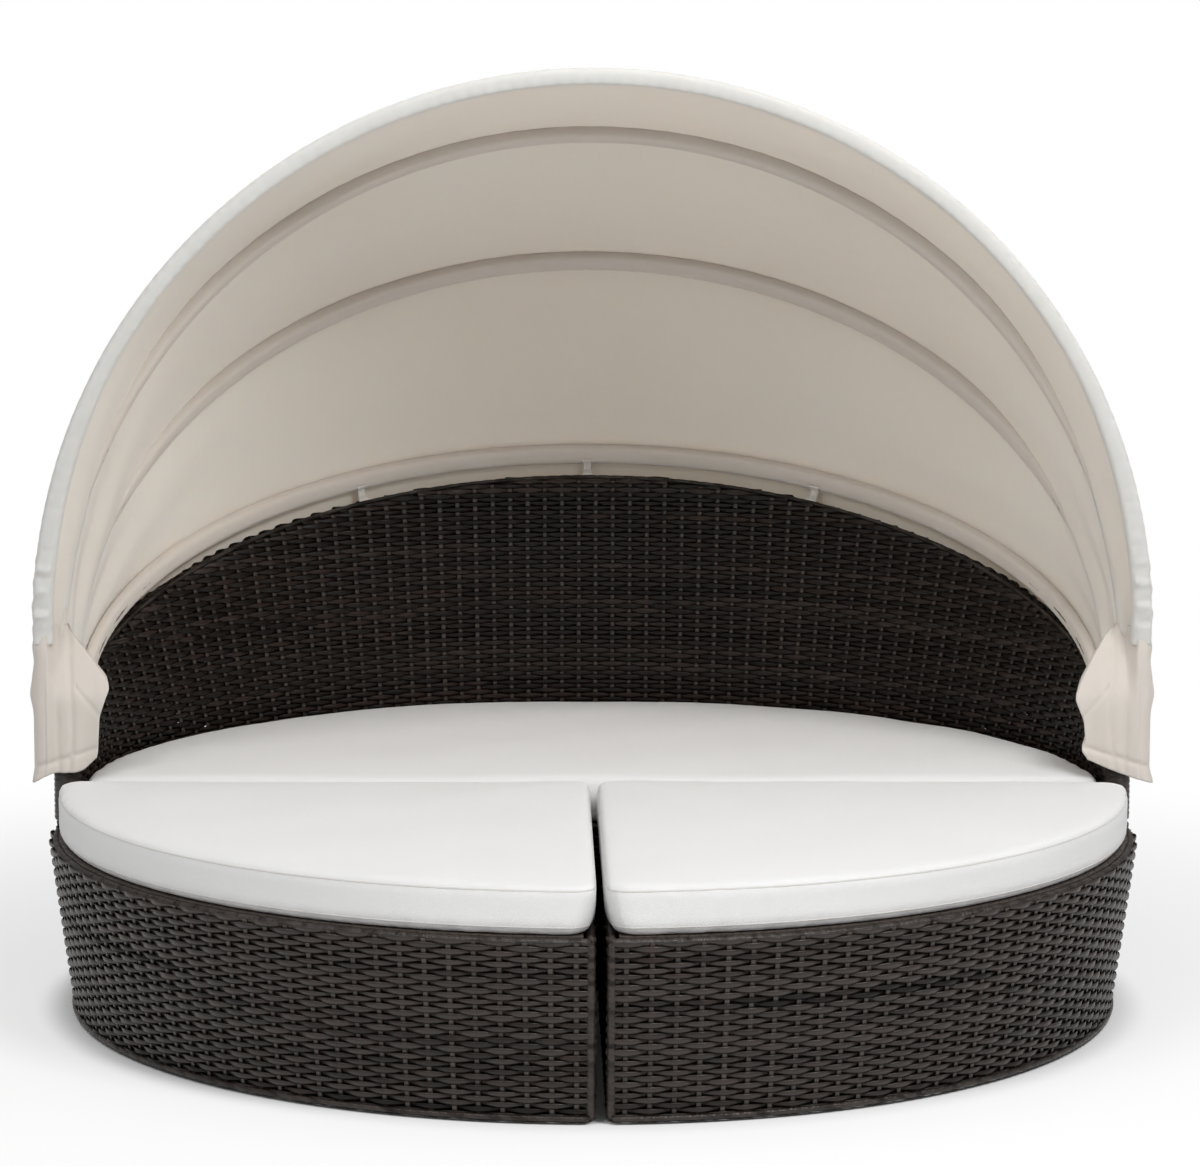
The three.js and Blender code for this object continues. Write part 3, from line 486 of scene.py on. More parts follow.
def wall_place(size, along, z, out):
    """Upright on the wall's face, and bent over the rail inside the crest above its middle."""
    angle = (along + fan(size, along, z)) / size["Wall Radius"] + size["First Angle"]
    rail = CREST_AT_ARMS - ROLL_RADIUS + angle.math("SINE") * WALL_MID * CREST_SLOPE
    above = (z - rail).math("MAXIMUM", 0.0)
    reach = out + (ROLL_RADIUS - SKIN / 2)
    half = (reach * reach - above * above).math("MAXIMUM", 0.000004).math("SQRT")
    return turned(half * size["Facing"] + WALL_MID, angle, z)


def wall_row_ends(size, z):
    """A row ends where the crest comes down to it."""
    lift = (z - CREST_AT_ARMS + CREST_LAP + 0.0005) / (WALL_MID * CREST_SLOPE)
    angle = lift.math("MAXIMUM", 0.0).math("MINIMUM", 1.0).math("ARCSINE")
    crest = (angle - size["First Angle"]).math("MAXIMUM", 0.0) * size["Wall Radius"]
    start = crest
    for _ in range(7):
        start = (start + crest - fan(size, start, z)) * 0.5
    start = start.math("MAXIMUM", 0.0).math("MINIMUM", size["Length"] / 2 - 0.02)
    return start, size["Length"] - start


def wall_stake_ends(size, along):
    low = along * 0.0 + size["Low End"]
    high = crest_height(size, along)
    for _ in range(4):
        high = crest_height(size, along + fan(size, along, high))
    return low, (high - 0.005).math("MAXIMUM", low + 0.01)


def wall_sizes(radius, facing, fan_share, stakes, low, tip):
    first_angle = math.asin((ARM_Y + 0.012) / radius)
    length = (math.pi - 2 * first_angle) * radius
    return STRAND | {
        "Rows": WALL_ROWS,
        "First Row Number": BASE_ROWS,
        "Stakes": stakes,
        "Stake Pitch": length / stakes,
        "Length": length,
        "First Angle": first_angle,
        "Wall Radius": radius,
        "Facing": facing,
        "Fan": fan_share,
        "Low End": low,
        "Strand Tip": tip,
        "Wave": 0.0030,
        "Slat Depth": 0.0054,
        "Slat Share": 0.40,
        # A small share of the strand tone makes the wall's strands much darker than the base's: painted
        # shade for the canopy's shade over the wall.
        "Tone": 0.24,
        # The wall's lower Stake Tone gives its stakes less painted highlight.
        "Stake Tone": 0.85,
    }


inner_sizes = wall_sizes(SEAT_RADIUS - 0.045 + SKIN / 2, -1.0, 0.3, 84, 0.284, 0.0032)
outer_sizes = wall_sizes(SEAT_RADIUS - SKIN / 2, 1.0, 0.0, 74, 0.280, 0.0043)
wall_weave = weave(
    "back_wall_weave", inner_sizes, wall_row_ends, wall_stake_ends, wall_place, shares=4.0)
for name, sizes in (("inner", inner_sizes), ("outer", outer_sizes)):
    skin = grow(f"back_wall_{name}_weave", wall_weave, sizes)
    place_piece(skin, "rear_section", f"rear_{name}_wicker")


# Flat skins: the sides where the three sections face each other, woven over the same stakes and hidden
# until a section is pulled away.

def flat_place(size, along, z, out):
    turn = size["Turn"]
    across = (SEAM + SKIN / 2 - out) * size["Hand"]
    c, s = turn.math("COSINE"), turn.math("SINE")
    return vector(c * along - s * across, s * along + c * across, z)


def flat_row_ends(size, z):
    reach = size["Foot Reach"] + (size["Seat Reach"] - size["Foot Reach"]) * z / BASE_HEIGHT
    return size["Near End"] + z * 0.0, reach


def flat_stake_ends(size, along):
    """A stake past the reach at the foot is left short, because the skin's edge leans over it."""
    inside = (size["Foot Reach"] - along).math("GREATER_THAN", 0.0)
    return along * 0.0 + HEM, along * 0.0 + 0.02 + (SKIN_TOP - 0.02) * inside


flat_sizes = STRAND | {
    "Rows": BASE_ROWS,
    "First Row Number": 0,
    "Stakes": 22,
    "Stake Pitch": 0.0385,
    "Near End": SEAM + 0.012,
    "Slat Start": SEAM + 0.012,
    "Foot Reach": FOOT_RADIUS - SKIN - 0.004,
    "Seat Reach": SEAT_RADIUS - SKIN - 0.004,
    "Turn": 0.0,
    "Hand": 1.0,
}
flat_weave = weave(
    "flat_side_weave", flat_sizes, flat_row_ends, flat_stake_ends, flat_place, sides=5, shares=4.0)
flat_skins = [
    ("front_left_side", 1.5 * math.pi, -1.0, "front_left_section", "front_left_side_wicker"),
    ("front_left_back", math.pi, 1.0, "front_left_section", "front_left_back_wicker"),
    ("front_right_side", 1.5 * math.pi, 1.0, "front_right_section", "front_right_side_wicker"),
    ("front_right_back", 0.0, -1.0, "front_right_section", "front_right_back_wicker"),
    ("rear_front_right", 0.0, 1.0, "rear_section", "rear_front_wicker"),
    ("rear_front_left", math.pi, -1.0, "rear_section", "rear_front_wicker"),
]
for name, turn, hand, body, node in flat_skins:
    changes = {"Turn": turn, "Hand": hand}
    if body == "rear_section":
        changes |= {"Near End": 0.0, "Slat Start": 0.0}
    place_piece(grow(f"{name}_flat_weave", flat_weave, flat_sizes | changes), body, node)


# Rolled rims, arm posts and seam columns: one strand wound tightly round a tube or a cane, so that it
# shows as narrow slanting bands. The bottom border is a thicker strand twisted along the floor edge, and
# a wound cane closes the foot of each flat side.

WOUND = {
    "Length": 1.0,
    "Radius": 0.0075,
    "Step": 0.0028,
    "Wind Pitch": 0.009,
    "Strands": 1.0,
    "Groove": 0.0016,
    "Tone": 1.0,
}


def wound(name, sizes, route):
    """A wound rod: route(size, along) gives its middle line and two square directions across it."""
    tree, size, target = new_tree(name, sizes)
    x, _, _ = point_of(tree)
    body = tubes(moved(ladder(tree, 1), vector(x * size["Length"], 0.0, 0.0)), size["Step"], 12)
    along, _, flat, deep = lane(tree)
    angle = deep.math("ARCTAN2", flat)
    turns = along / size["Wind Pitch"] + angle / (2 * math.pi) * size["Strands"]
    band = turns.math("FRACT")
    crown = (band * (1.0 - band) * 4.0).math("POWER", 0.5)
    half_length = size["Length"] / 2
    end_share = spread((along - half_length).math("ABSOLUTE") - half_length, -0.006, 0.0, 1.0, 0.55)
    radius = (size["Radius"] - size["Groove"] * (1.0 - crown)) * end_share
    body = marked(body, "across", band * 2.0 - 1.0)
    body = marked(body, "tone", (chance(turns.math("FLOOR"), 1.9) * 0.7 + 0.1) * size["Tone"])
    middle, side, up = route(size, along)
    place = [m + (s * flat + u * deep) * radius for m, s, u in zip(middle, side, up)]
    finished(target, [moved(body, vector(*place))], wicker_resin)
    return tree


def ring_route(size, along):
    """Round a part of a circle, on a plane that rises to the rear by the slope."""
    angle = size["First Angle"] + along / size["Length"] * size["Span"]
    c = angle.math("COSINE")
    s = angle.math("SINE")
    ring = size["Ring Radius"]
    tilt = c * size["Slope"]
    middle = (ring * c, ring * s, size["Height"] + s * ring * size["Slope"])
    return middle, (c, s, 0.0 * c), (s * tilt, -c * tilt, 0.0 * c + 1.0)


def straight_route(size, along):
    share = along / size["Length"]
    starts = [size[f"Start {axis}"] for axis in "XYZ"]
    steps = [size[f"End {axis}"] - start for axis, start in zip("XYZ", starts)]
    middle = [start + step * share for start, step in zip(starts, steps)]
    upright = size["Upright"]
    lying = 1.0 - upright
    dx, dy = [step / size["Length"] for step in steps[:2]]
    return middle, (upright - lying * dy, lying * dx, upright * 0.0), (upright * 0.0, upright, lying)


ring_winding = wound("ring_winding", WOUND | {
    "Ring Radius": 1.0, "First Angle": 0.0, "Span": 1.0, "Height": 0.0, "Slope": 0.0}, ring_route)
straight_winding = wound("straight_winding", WOUND | {
    "Start X": 0.0, "Start Y": 0.0, "Start Z": 0.0, "End X": 1.0, "End Y": 0.0, "End Z": 0.0,
    "Upright": 0.0}, straight_route)


def ring_rod(ring, first_angle, span, height, slope, changes, name="rod"):
    return grow(name, ring_winding, WOUND | changes | {
        "Length": ring * span, "Ring Radius": ring, "First Angle": first_angle,
        "Span": span, "Height": height, "Slope": slope})


def straight_rod(start, end, changes, name="rod"):
    length = math.dist(start, end)
    upright = 1.0 if abs(end[2] - start[2]) > length / 2 else 0.0
    ends = {f"{label} {axis}": value for label, point in (("Start", start), ("End", end))
            for axis, value in zip("XYZ", point)}
    return grow(name, straight_winding, WOUND | changes | ends | {"Length": length, "Upright": upright})


def merged(name, pieces):
    """Joins finished meshes of one body into one piece."""
    made = bmesh.new()
    for piece in pieces:
        made.from_mesh(piece.data)
    mesh = write(made, bpy.data.meshes.new(name))
    mesh.materials.append(wicker_resin)
    for piece in pieces:
        bpy.data.objects.remove(piece)
    return new_piece(name, mesh)


def around(point, turn):
    x, y, z = point
    return (x * math.cos(turn) - y * math.sin(turn), x * math.sin(turn) + y * math.cos(turn), z)


RIM_ROLL = 0.0075
RIM_RING = 0.8870
RIM_Z = BASE_HEIGHT - RIM_ROLL - 0.001
RIM_INSET = SEAM + RIM_ROLL
RIM_ROD = {"Step": 0.0034}
rim_end = math.sqrt(RIM_RING ** 2 - RIM_INSET ** 2)
rim_angle = math.asin(RIM_INSET / RIM_RING)
BORDER = 0.0045
BORDER_RING = FOOT_RADIUS + 0.0005
BORDER_Z = HEM + BORDER - 0.0015
BORDER_END = FOOT_RADIUS - 0.012
BORDER_ROD = {"Radius": BORDER, "Step": 0.004, "Wind Pitch": 0.018, "Groove": 0.0012, "Strands": 2.0}
COLUMN = 0.0075
COLUMN_FOOT = HEM + 0.002
COLUMN_ROD = {"Radius": COLUMN}
column_in = SEAM + COLUMN
column_out = FOOT_RADIUS - COLUMN
column_top_out = SEAT_RADIUS - COLUMN - 0.002

for side, turn in front_sides:
    center = around((RIM_INSET, RIM_INSET, RIM_Z), turn)
    rim = merged(f"{side}_wound_rim", [
        ring_rod(RIM_RING, turn + rim_angle, QUARTER - 2 * rim_angle, RIM_Z, 0.0, {}),
        straight_rod(center, around((rim_end, RIM_INSET, RIM_Z), turn), RIM_ROD),
        straight_rod(center, around((RIM_INSET, rim_end, RIM_Z), turn), RIM_ROD),
    ])
    place_piece(rim, f"{side}_section", f"{side}_top_rim")
    edging = [ring_rod(BORDER_RING, turn + seam_angle, quarter_span, BORDER_Z, 0.0, BORDER_ROD)]
    for foot, top in (
        ((column_out, column_in, COLUMN_FOOT), (column_top_out, column_in, SKIN_TOP)),
        ((column_in, column_out, COLUMN_FOOT), (column_in, column_top_out, SKIN_TOP)),
        ((column_in, column_in, COLUMN_FOOT), (column_in, column_in, SKIN_TOP)),
        ((column_in, column_in, BORDER_Z), (BORDER_END, column_in, BORDER_Z)),
        ((column_in, column_in, BORDER_Z), (column_in, BORDER_END, BORDER_Z)),
    ):
        edging.append(straight_rod(around(foot, turn), around(top, turn), COLUMN_ROD))
    place_piece(merged(f"{side}_seam_columns", edging), f"{side}_section")

foot_border = straight_rod((-BORDER_END, column_in, BORDER_Z), (BORDER_END, column_in, BORDER_Z),
                           COLUMN_ROD, "rear_front_foot_border")
place_piece(foot_border, "rear_section")

rear_rim_end = ARM_X - 0.0115 - 0.0024
rear_rim = straight_rod((-rear_rim_end, RIM_INSET, RIM_Z), (rear_rim_end, RIM_INSET, RIM_Z),
                        RIM_ROD, "rear_front_wound_rim")
place_piece(rear_rim, "rear_section", "rear_front_rim")

CREST_CANE_OUT = 0.0105
# The crest roll and its canes take a low tone, darker than the rims and posts: painted shade, as on the wall
# below them.
CANE_ROD = {"Radius": 0.0038, "Step": 0.0040, "Tone": 0.5, "Wind Pitch": 0.024, "Groove": 0.0008}
CREST_ROD = {"Radius": 0.0150, "Step": 0.0040, "Tone": 0.3, "Wind Pitch": 0.011, "Groove": 0.002}
roll_angle = math.asin(ARM_Y / WALL_MID)
crest = [
    ring_rod(ring, roll_angle, math.pi - 2 * roll_angle,
             CREST_AT_ARMS - drop, CREST_SLOPE * WALL_MID / ring, rod)
    for ring, drop, rod in (
        (WALL_MID, ROLL_RADIUS, CREST_ROD),
        (WALL_MID - CREST_CANE_OUT, 0.0065, CANE_ROD),
        (WALL_MID + CREST_CANE_OUT, 0.0125, CANE_ROD),
    )
]
place_piece(merged("wound_top_roll", crest), "rear_section", "rear_top_roll")

rear_edging = [ring_rod(BORDER_RING, seam_angle, half_span, BORDER_Z, 0.0, BORDER_ROD)]
for hand in (-1, 1):
    rear_edging.append(straight_rod((hand * column_out, column_in, COLUMN_FOOT),
                                    (hand * column_top_out, column_in, SKIN_TOP), COLUMN_ROD))
place_piece(merged("rear_seam_columns", rear_edging), "rear_section")

ARM_ROD = {"Radius": ROLL_RADIUS, "Step": 0.0026, "Groove": 0.0018}
for name, hand in (("left", -1), ("right", 1)):
    post = straight_rod((hand * ARM_X, ARM_Y, BASE_HEIGHT), (hand * ARM_X, ARM_Y, CREST_AT_ARMS - 0.01),
                        ARM_ROD, f"{name}_arm_winding")
    place_piece(post, "rear_section", f"rear_{name}_arm_wicker")


# Seat decks: flat resin webbing woven through the frame, under the cushions. It carries the sitter and
# shows when a cushion is lifted.

STRAP_PITCH = 0.016


def deck_finish():
    finish, shader, place = new_finish("deck_webbing")
    x, y, _ = parts(place)
    across, along = [(value * (math.pi / STRAP_PITCH)).math("SINE") for value in (x, y)]
    over = (across * along).math("GREATER_THAN", 0.0)
    weft, warp = [wave.math("ABSOLUTE").math("POWER", 0.35) for wave in (across, along)]
    height = over * weft + (1.0 - over) * warp
    patch = noise(place, 30.0, 3.0)
    fill(shader, {
        # The colour darkens where the relief is low, at the edges of each strap: painted shade in the
        # grooves of the weave; the patches are the resin's own tone.
        "Base Color": blend_colors(height * 0.7 + patch * 0.3, linear(24, 21, 19), linear(84, 74, 67)),
        "Roughness": patch * 0.2 + 0.4,
    })
    relief(shader, height, 0.002)
    return finish


dress(["rear_seat_deck", "front_left_seat_deck", "front_right_seat_deck"], deck_finish())


# Cushions: three boxed foam cushions in white woven cover, with a thin welt near the top and the bottom
# edge. They lie loose on the decks, and the cover is drawn in a little between its welts.

CUSHION_BOTTOM = 0.2873
CUSHION_THICK = 0.076
CUSHION_CROWN = 0.009
CUSHION_INSET = 0.0015
CUSHION_RINGS = [
    (0.005, 0.0), (0.0, 0.006), (0.0, CUSHION_THICK - 0.008), (0.005, CUSHION_THICK - 0.002)]
CENTER_CORNER = 0.022
SWELL_FRAMES = 20
SWELL_CAP = 0.012
SWELL_SIDEWAYS = 0.25
WELT = 0.0018
WELT_HEIGHTS = (0.0125, CUSHION_THICK - 0.0095)
WELT_SIDES = 6


def cloth_finish(name, color, shade, pitch, sheen, fuzz):
    """Woven cover cloth: fine over and under threads, soft patches and a little sheen."""
    finish, shader, place = new_finish(name)
    x, y, z = [value * (math.pi / pitch) for value in parts(place)]
    threads = ((x + z).math("SINE") * (y + z * 0.37).math("SINE")).math("ABSOLUTE").math("POWER", 0.6)
    fine = noise(place, 160.0, 3.0)
    tone = noise(place, 5.0, 4.0) * 0.45 + fine * 0.3 + threads * 0.25
    fill(shader, {
        "Base Color": blend_colors(tone, shade, color),
        "Roughness": fine * 0.1 + 0.82,
        "Sheen Weight": sheen,
        "Sheen Roughness": 0.5,
    })
    relief(shader, threads * 0.6 + fine * fuzz, 0.0005)
    return finish


cushion_cloth = cloth_finish(
    "cushion_cloth", linear(243, 243, 243), linear(231, 230, 229), 0.0011, 0.15, 0.8)
# The welts are of the cover's white cloth, coloured a little darker as painted shade for the faint shadow
# along them.
welt_cloth_painted_shade = cloth_finish("welt_cloth_painted_shade", linear(228, 226, 223), linear(214, 212, 208), 0.0009, 0.1, 0.6)


def section_outline(radius, edge, corner, center_corner, half, steps):
    """Plan outline of a section in the quarter x > 0, y > 0, or in the half y > 0, with round corners."""
    reach = math.sqrt((radius - corner) ** 2 - (edge + corner) ** 2)
    lean = math.atan2(edge + corner, reach)
    points = []

    def bend(cx, cy, r, start, end, count=9):
        for a in np.linspace(start, end, count):
            points.append((cx + r * math.cos(a), cy + r * math.sin(a)))

    bend(reach, edge + corner, corner, -math.pi / 2, lean)
    last = math.pi - lean if half else math.pi / 2 - lean
    bend(0.0, 0.0, radius, lean + (last - lean) / steps, last - (last - lean) / steps, steps - 1)
    if half:
        bend(-reach, edge + corner, corner, last, 1.5 * math.pi)
    else:
        bend(edge + corner, reach, corner, last, math.pi)
        bend(edge + center_corner, edge + center_corner, center_corner, math.pi, 1.5 * math.pi)
    return points


def cushion_ring(plan, inset, back, steps, height):
    """Points round a cushion at a height, inset and then moved back from its edge."""
    radius, edge, half, turn = plan
    corner = 0.022 if half else 0.034
    outline = section_outline(
        radius - inset - back, edge + inset + back, corner - back / 2, CENTER_CORNER - back / 2, half, steps)
    return [around((x, y, height), turn) for x, y in outline]


def corners_of(piece):
    co = np.zeros(len(piece.data.vertices) * 3)
    piece.data.vertices.foreach_get("co", co)
    return co.reshape(-1, 3)


def cushion_piece(name, plan, voxel):
    """A closed cushion body, swollen by a short cloth simulation and held within its own space."""
    made = bmesh.new()
    rings = [[made.verts.new(point)
              for point in cushion_ring(plan, CUSHION_INSET, back, 48, CUSHION_BOTTOM + z)]
             for back, z in CUSHION_RINGS]
    for low, high in zip(rings, rings[1:]):
        for i in range(len(low)):
            j = (i + 1) % len(low)
            made.faces.new((low[i], low[j], high[j], high[i]))
    made.faces.new(list(reversed(rings[0])))
    made.faces.new(rings[-1])
    piece = new_piece(name, write(made, bpy.data.meshes.new(name)))
    remesh = piece.modifiers.new("even", "REMESH")
    remesh.mode = "VOXEL"
    remesh.voxel_size = voxel
    bake(piece)
    rest = corners_of(piece)
    cloth = piece.modifiers.new("swell", "CLOTH")
    cloth.settings.use_pressure = True
    cloth.settings.uniform_pressure_force = 4.0
    cloth.settings.effector_weights.gravity = 0.0
    cloth.settings.quality = 4
    for frame_number in range(1, SWELL_FRAMES + 1):
        bpy.context.scene.frame_set(frame_number)
    bake(piece)
    bpy.context.scene.frame_set(1)
    move = corners_of(piece) - rest
    length = np.linalg.norm(move, axis=1, keepdims=True) + 1e-9
    move *= SWELL_CAP * np.tanh(length / SWELL_CAP) / length
    move[:, :2] *= SWELL_SIDEWAYS
    shape = settle_cushion(rest + move, plan)
    piece.data.vertices.foreach_set("co", shape.astype(np.float32).ravel())
    finer = piece.modifiers.new("finer", "SUBSURF")
    finer.levels = finer.render_levels = 1
    bake(piece)
    piece.data.materials.append(cushion_cloth)
    piece.data.materials.append(welt_cloth_painted_shade)
    for level in WELT_HEIGHTS:
        add_welt(piece, plan, CUSHION_BOTTOM + level)
    for polygon in piece.data.polygons:
        polygon.use_smooth = True
    return piece


def add_welt(piece, plan, height):
    """A thin sewn welt that follows the cover's side at a height, half sunk in it."""
    made = bmesh.new()
    made.from_mesh(piece.data)
    cover = BVHTree.FromBMesh(made)
    path = np.array(cushion_ring(plan, 0.0, 0.0, 150, height))
    ahead = np.roll(path, -1, 0) - np.roll(path, 1, 0)
    ahead /= np.linalg.norm(ahead, axis=1, keepdims=True)
    up = np.array((0.0, 0.0, 1.0))
    outward = np.cross(ahead, up)
    depth = []
    for point, out in zip(path, outward):
        hit = cover.ray_cast(Vector(point) + Vector(out) * 0.02, -Vector(out), 0.05)
        depth.append(0.02 - hit[3] if hit[0] else np.nan)
    depth = np.array(depth)
    good = ~np.isnan(depth)
    count = np.arange(len(depth))
    path = path + outward * np.interp(count, count[good], depth[good])[:, None]
    turns = [2 * math.pi / WELT_SIDES * k for k in range(WELT_SIDES)]
    rings = [[made.verts.new(point + WELT * (out * (math.cos(a) - 0.45) + up * math.sin(a))) for a in turns]
             for point, out in zip(path, outward)]
    for ring, after in zip(rings, rings[1:] + rings[:1]):
        for k in range(WELT_SIDES):
            n = (k + 1) % WELT_SIDES
            made.faces.new((ring[k], after[k], after[n], ring[n])).material_index = 1
    write(made, piece.data)


def settle_cushion(shape, plan):
    """Crowns the top, draws the sides in between the welts, and keeps the bottom flat on its deck."""
    radius, edge, half, turn = plan
    local = np.array(shape)
    c, s = math.cos(-turn), math.sin(-turn)
    x = local[:, 0] * c - local[:, 1] * s
    y = local[:, 0] * s + local[:, 1] * c
    z = local[:, 2] - CUSHION_BOTTOM
    distance = np.minimum(radius - np.hypot(x, y), y - edge)
    if not half:
        distance = np.minimum(distance, x - edge)
    inner = np.clip(distance / 0.22, 0, 1)
    top = CUSHION_THICK + CUSHION_CROWN * (1 - (1 - inner) ** 2)
    waves = 0.0010 * np.sin(9 * x + 4 * y + 1.3) + 0.0008 * np.sin(21 * y - 13 * x)
    level = np.clip(z / CUSHION_THICK, 0, 1)
    side = np.clip(1 - distance / 0.012, 0, 1) * np.sin(math.pi * level) ** 2
    drawn = 0.0022 * side * (1 + 0.35 * np.sin(31 * x + 17 * y))
    reach = (np.hypot(x, y) + 1e-9)[:, None]
    local[:, :2] -= drawn[:, None] * local[:, :2] / reach
    waist = CUSHION_THICK * 0.55
    high = np.clip((z - waist) / (CUSHION_THICK - waist), 0, 1)
    z = np.where(z > waist, waist + (top - waist) * high + waves * high - 0.0012 * high, z)
    z = np.maximum(z, 0.0)
    under = 0.0080 * np.clip(1 - z / 0.022, 0, 1) ** 2 * np.clip(1 - distance / 0.030, 0, 1)
    local[:, :2] -= under[:, None] * local[:, :2] / reach
    if not half:
        corner = np.hypot(local[:, 0], local[:, 1] + radius) / 0.075
        slack = 0.016 * np.exp(-corner ** 2) * np.clip(1 - z / CUSHION_THICK, 0, 1) ** 1.4
        local[:, 0] += np.sign(local[:, 0]) * slack
    local[:, 2] = z + CUSHION_BOTTOM
    return local


cushions = [
    ("rear_cushion", (0.851, 0.0100, True, 0.0), 0.0112),
    ("front_left_cushion", (0.888, 0.0015, False, math.pi), 0.010),
    ("front_right_cushion", (0.888, 0.0015, False, 1.5 * math.pi), 0.010),
]
for name, plan, voxel in cushions:
    piece = cushion_piece(f"{name}_cover", plan, voxel)
    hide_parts(name)
    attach(piece, name)


# Pivot hardware: at each arm a folded steel bracket on a stem drops into the arm post, and one bolt
# carries the four bow ends with washers between them.

zinc = coated_metal("zinc_plate", linear(172, 173, 175), linear(140, 140, 142), 0.9, 0.32)
dress([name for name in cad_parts
       if any(part in name for part in ("_bow_bracket", "_bow_bolt", "_bow_washer"))], zinc)


# Bows: four bent aluminium tubes that hold the canopy up, inside sewn sleeves.

bow_coat = coated_metal("bow_coat", linear(120, 112, 104), linear(96, 89, 83), 0.5, 0.4)
dress(["rear_bow", "middle_rear_bow", "middle_front_bow", "front_bow"], bow_coat)


# Canopy: one curved sheet of light woven cloth over the four bows, made of three sewn panels. It passes
# over each tube and hangs a little between them; the rear panel's hem comes down to the back wall.

PIVOT_Y = 0.0305
PIVOT_Z = 0.504835
BOW_STEP = 73 / 3
BOWS = {
    "rear": (0.84797, 0.06722, 20.0),
    "middle_rear": (0.86997, 0.104, 20.0 + BOW_STEP),
    "middle_front": (0.89197, 0.092, 20.0 + 2 * BOW_STEP),
    "front": (0.91397, 0.106, 93.0),
}
CLOTH_OUT = 0.0135
CLOTH_IN = -0.0128
PANEL_START = 0.095
PANEL_SAG = 0.012
COLUMNS = 150
PANEL_ROWS = 33
HEM_RADIUS = ROLL_RADIUS + 0.0022
HEM_END = math.radians(-24)


def bow_length(bow):
    half_width, leg, _ = BOWS[bow]
    return 2 * leg + math.pi * half_width


def bow_point(bow, s, out, turn):
    """Points at distances s along a bow, moved by out from the tube's middle, turned by turn degrees."""
    half_width, leg, lean = BOWS[bow]
    s = np.asarray(s, float)
    angle = np.clip((s - leg) / half_width, 0, math.pi)
    nx, nr = np.cos(angle), np.sin(angle)
    x = half_width * nx
    r = np.where(s < leg, s, np.where(s > leg + math.pi * half_width,
                                      2 * leg + math.pi * half_width - s, leg + half_width * nr))
    a = math.radians(lean)
    away = out * np.cos(np.radians(turn))
    down = out * np.sin(np.radians(turn))
    reach = r + nr * away
    return np.stack([x + nx * away,
                     PIVOT_Y + reach * math.cos(a) + down * math.sin(a),
                     PIVOT_Z + reach * math.sin(a) - down * math.cos(a)], -1)


def canopy_finish(name, color, shade, passed):
    """Light beige outdoor cloth that lets some daylight through: fine weave, soft stains."""
    finish, shader, place = new_finish(name)
    mapped = add(place.tree, "ShaderNodeUVMap", {}, uv_map="cloth")
    u, v, _ = [value * (math.pi / 0.0012) for value in parts(mapped)]
    threads = (u.math("SINE") * v.math("SINE")).math("ABSOLUTE").math("POWER", 0.5)
    slub = noise(place, 55.0, 3.0)
    tone = noise(place, 3.0, 4.0) * 0.5 + slub * 0.25 + threads * 0.25
    fill(shader, {
        "Base Color": blend_colors(tone, shade, color),
        "Roughness": slub * 0.1 + 0.8,
        "Sheen Weight": 0.1,
        "Subsurface Weight": passed,
        "Subsurface Radius": (1.0, 0.86, 0.74),
        "Subsurface Scale": 0.004,
    })
    relief(shader, threads * 0.7 + slub * 0.6, 0.0004)
    return finish


canopy_cloth = canopy_finish("canopy_cloth", linear(239, 231, 222), linear(227, 218, 208), 0.9)


def lengths(rows, axis):
    """Distances between neighbouring points of a grid, across it (axis 1) or along it (axis 0)."""
    return np.linalg.norm(np.diff(rows, axis=axis), axis=2)


def sheet_piece(name, rows, thickness, finish, closed):
    """A thin closed sheet round a grid of points: rows by columns by three, in metres."""
    count, width = rows.shape[:2]
    along = np.roll(rows, -1, 0) - np.roll(rows, 1, 0) if closed else np.gradient(rows, axis=0)
    normal = np.cross(np.gradient(rows, axis=1), along)
    normal /= np.linalg.norm(normal, axis=2, keepdims=True) + 1e-12
    u = np.concatenate([[0], np.cumsum(lengths(rows, 1).mean(0))])
    steps = lengths(rows, 0).mean(1)
    v = np.concatenate([[0], np.cumsum(steps)])
    made = bmesh.new()
    grid = [[[made.verts.new(p) for p in row] for row in rows + normal * thickness / 2 * side]
            for side in (1, -1)]
    uv = made.loops.layers.uv.new("cloth")

    def quad(*corners):
        face = made.faces.new([grid[k][r % count][c] for k, r, c in corners])
        face.smooth = True
        for loop, (_, r, c) in zip(face.loops, corners):
            loop[uv].uv = (u[c], v[r] if r < count else v[-1] + steps[-1])

    for r in range(count if closed else count - 1):
        for c in range(width - 1):
            quad((0, r, c), (0, r, c + 1), (0, r + 1, c + 1), (0, r + 1, c))
            quad((1, r, c), (1, r + 1, c), (1, r + 1, c + 1), (1, r, c + 1))
        quad((0, r, 0), (0, r + 1, 0), (1, r + 1, 0), (1, r, 0))
        quad((0, r, width - 1), (1, r, width - 1), (1, r + 1, width - 1), (0, r + 1, width - 1))
    if not closed:
        for c in range(width - 1):
            quad((0, 0, c), (1, 0, c), (1, 0, c + 1), (0, 0, c + 1))
            quad((0, count - 1, c), (0, count - 1, c + 1), (1, count - 1, c + 1), (1, count - 1, c))
    bmesh.ops.recalc_face_normals(made, faces=made.faces[:])
    mesh = write(made, bpy.data.meshes.new(name))
    mesh.materials.append(finish)
    return new_piece(name, mesh)


def sewn(name, rows, thickness, finish, node=None, closed=False):
    """A cloth piece from a grid of points, hiding the CAD node that it stands for."""
    piece = sheet_piece(name, rows, thickness, finish, closed)
    if node:
        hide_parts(node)
    return piece


def smooth(value, low, high):
    t = np.clip((value - low) / (high - low), 0, 1)
    return t * t * (3 - 2 * t)


def cloth_offset(bow, s):
    """The sheet lies over the bows, and inside the two middle ones near their ends."""
    if not bow.startswith("middle"):
        return CLOTH_OUT
    end = np.minimum(s, bow_length(bow) - s)
    return CLOTH_OUT + (CLOTH_IN - CLOTH_OUT) * (1.0 - smooth(end, 0.25, 0.80))


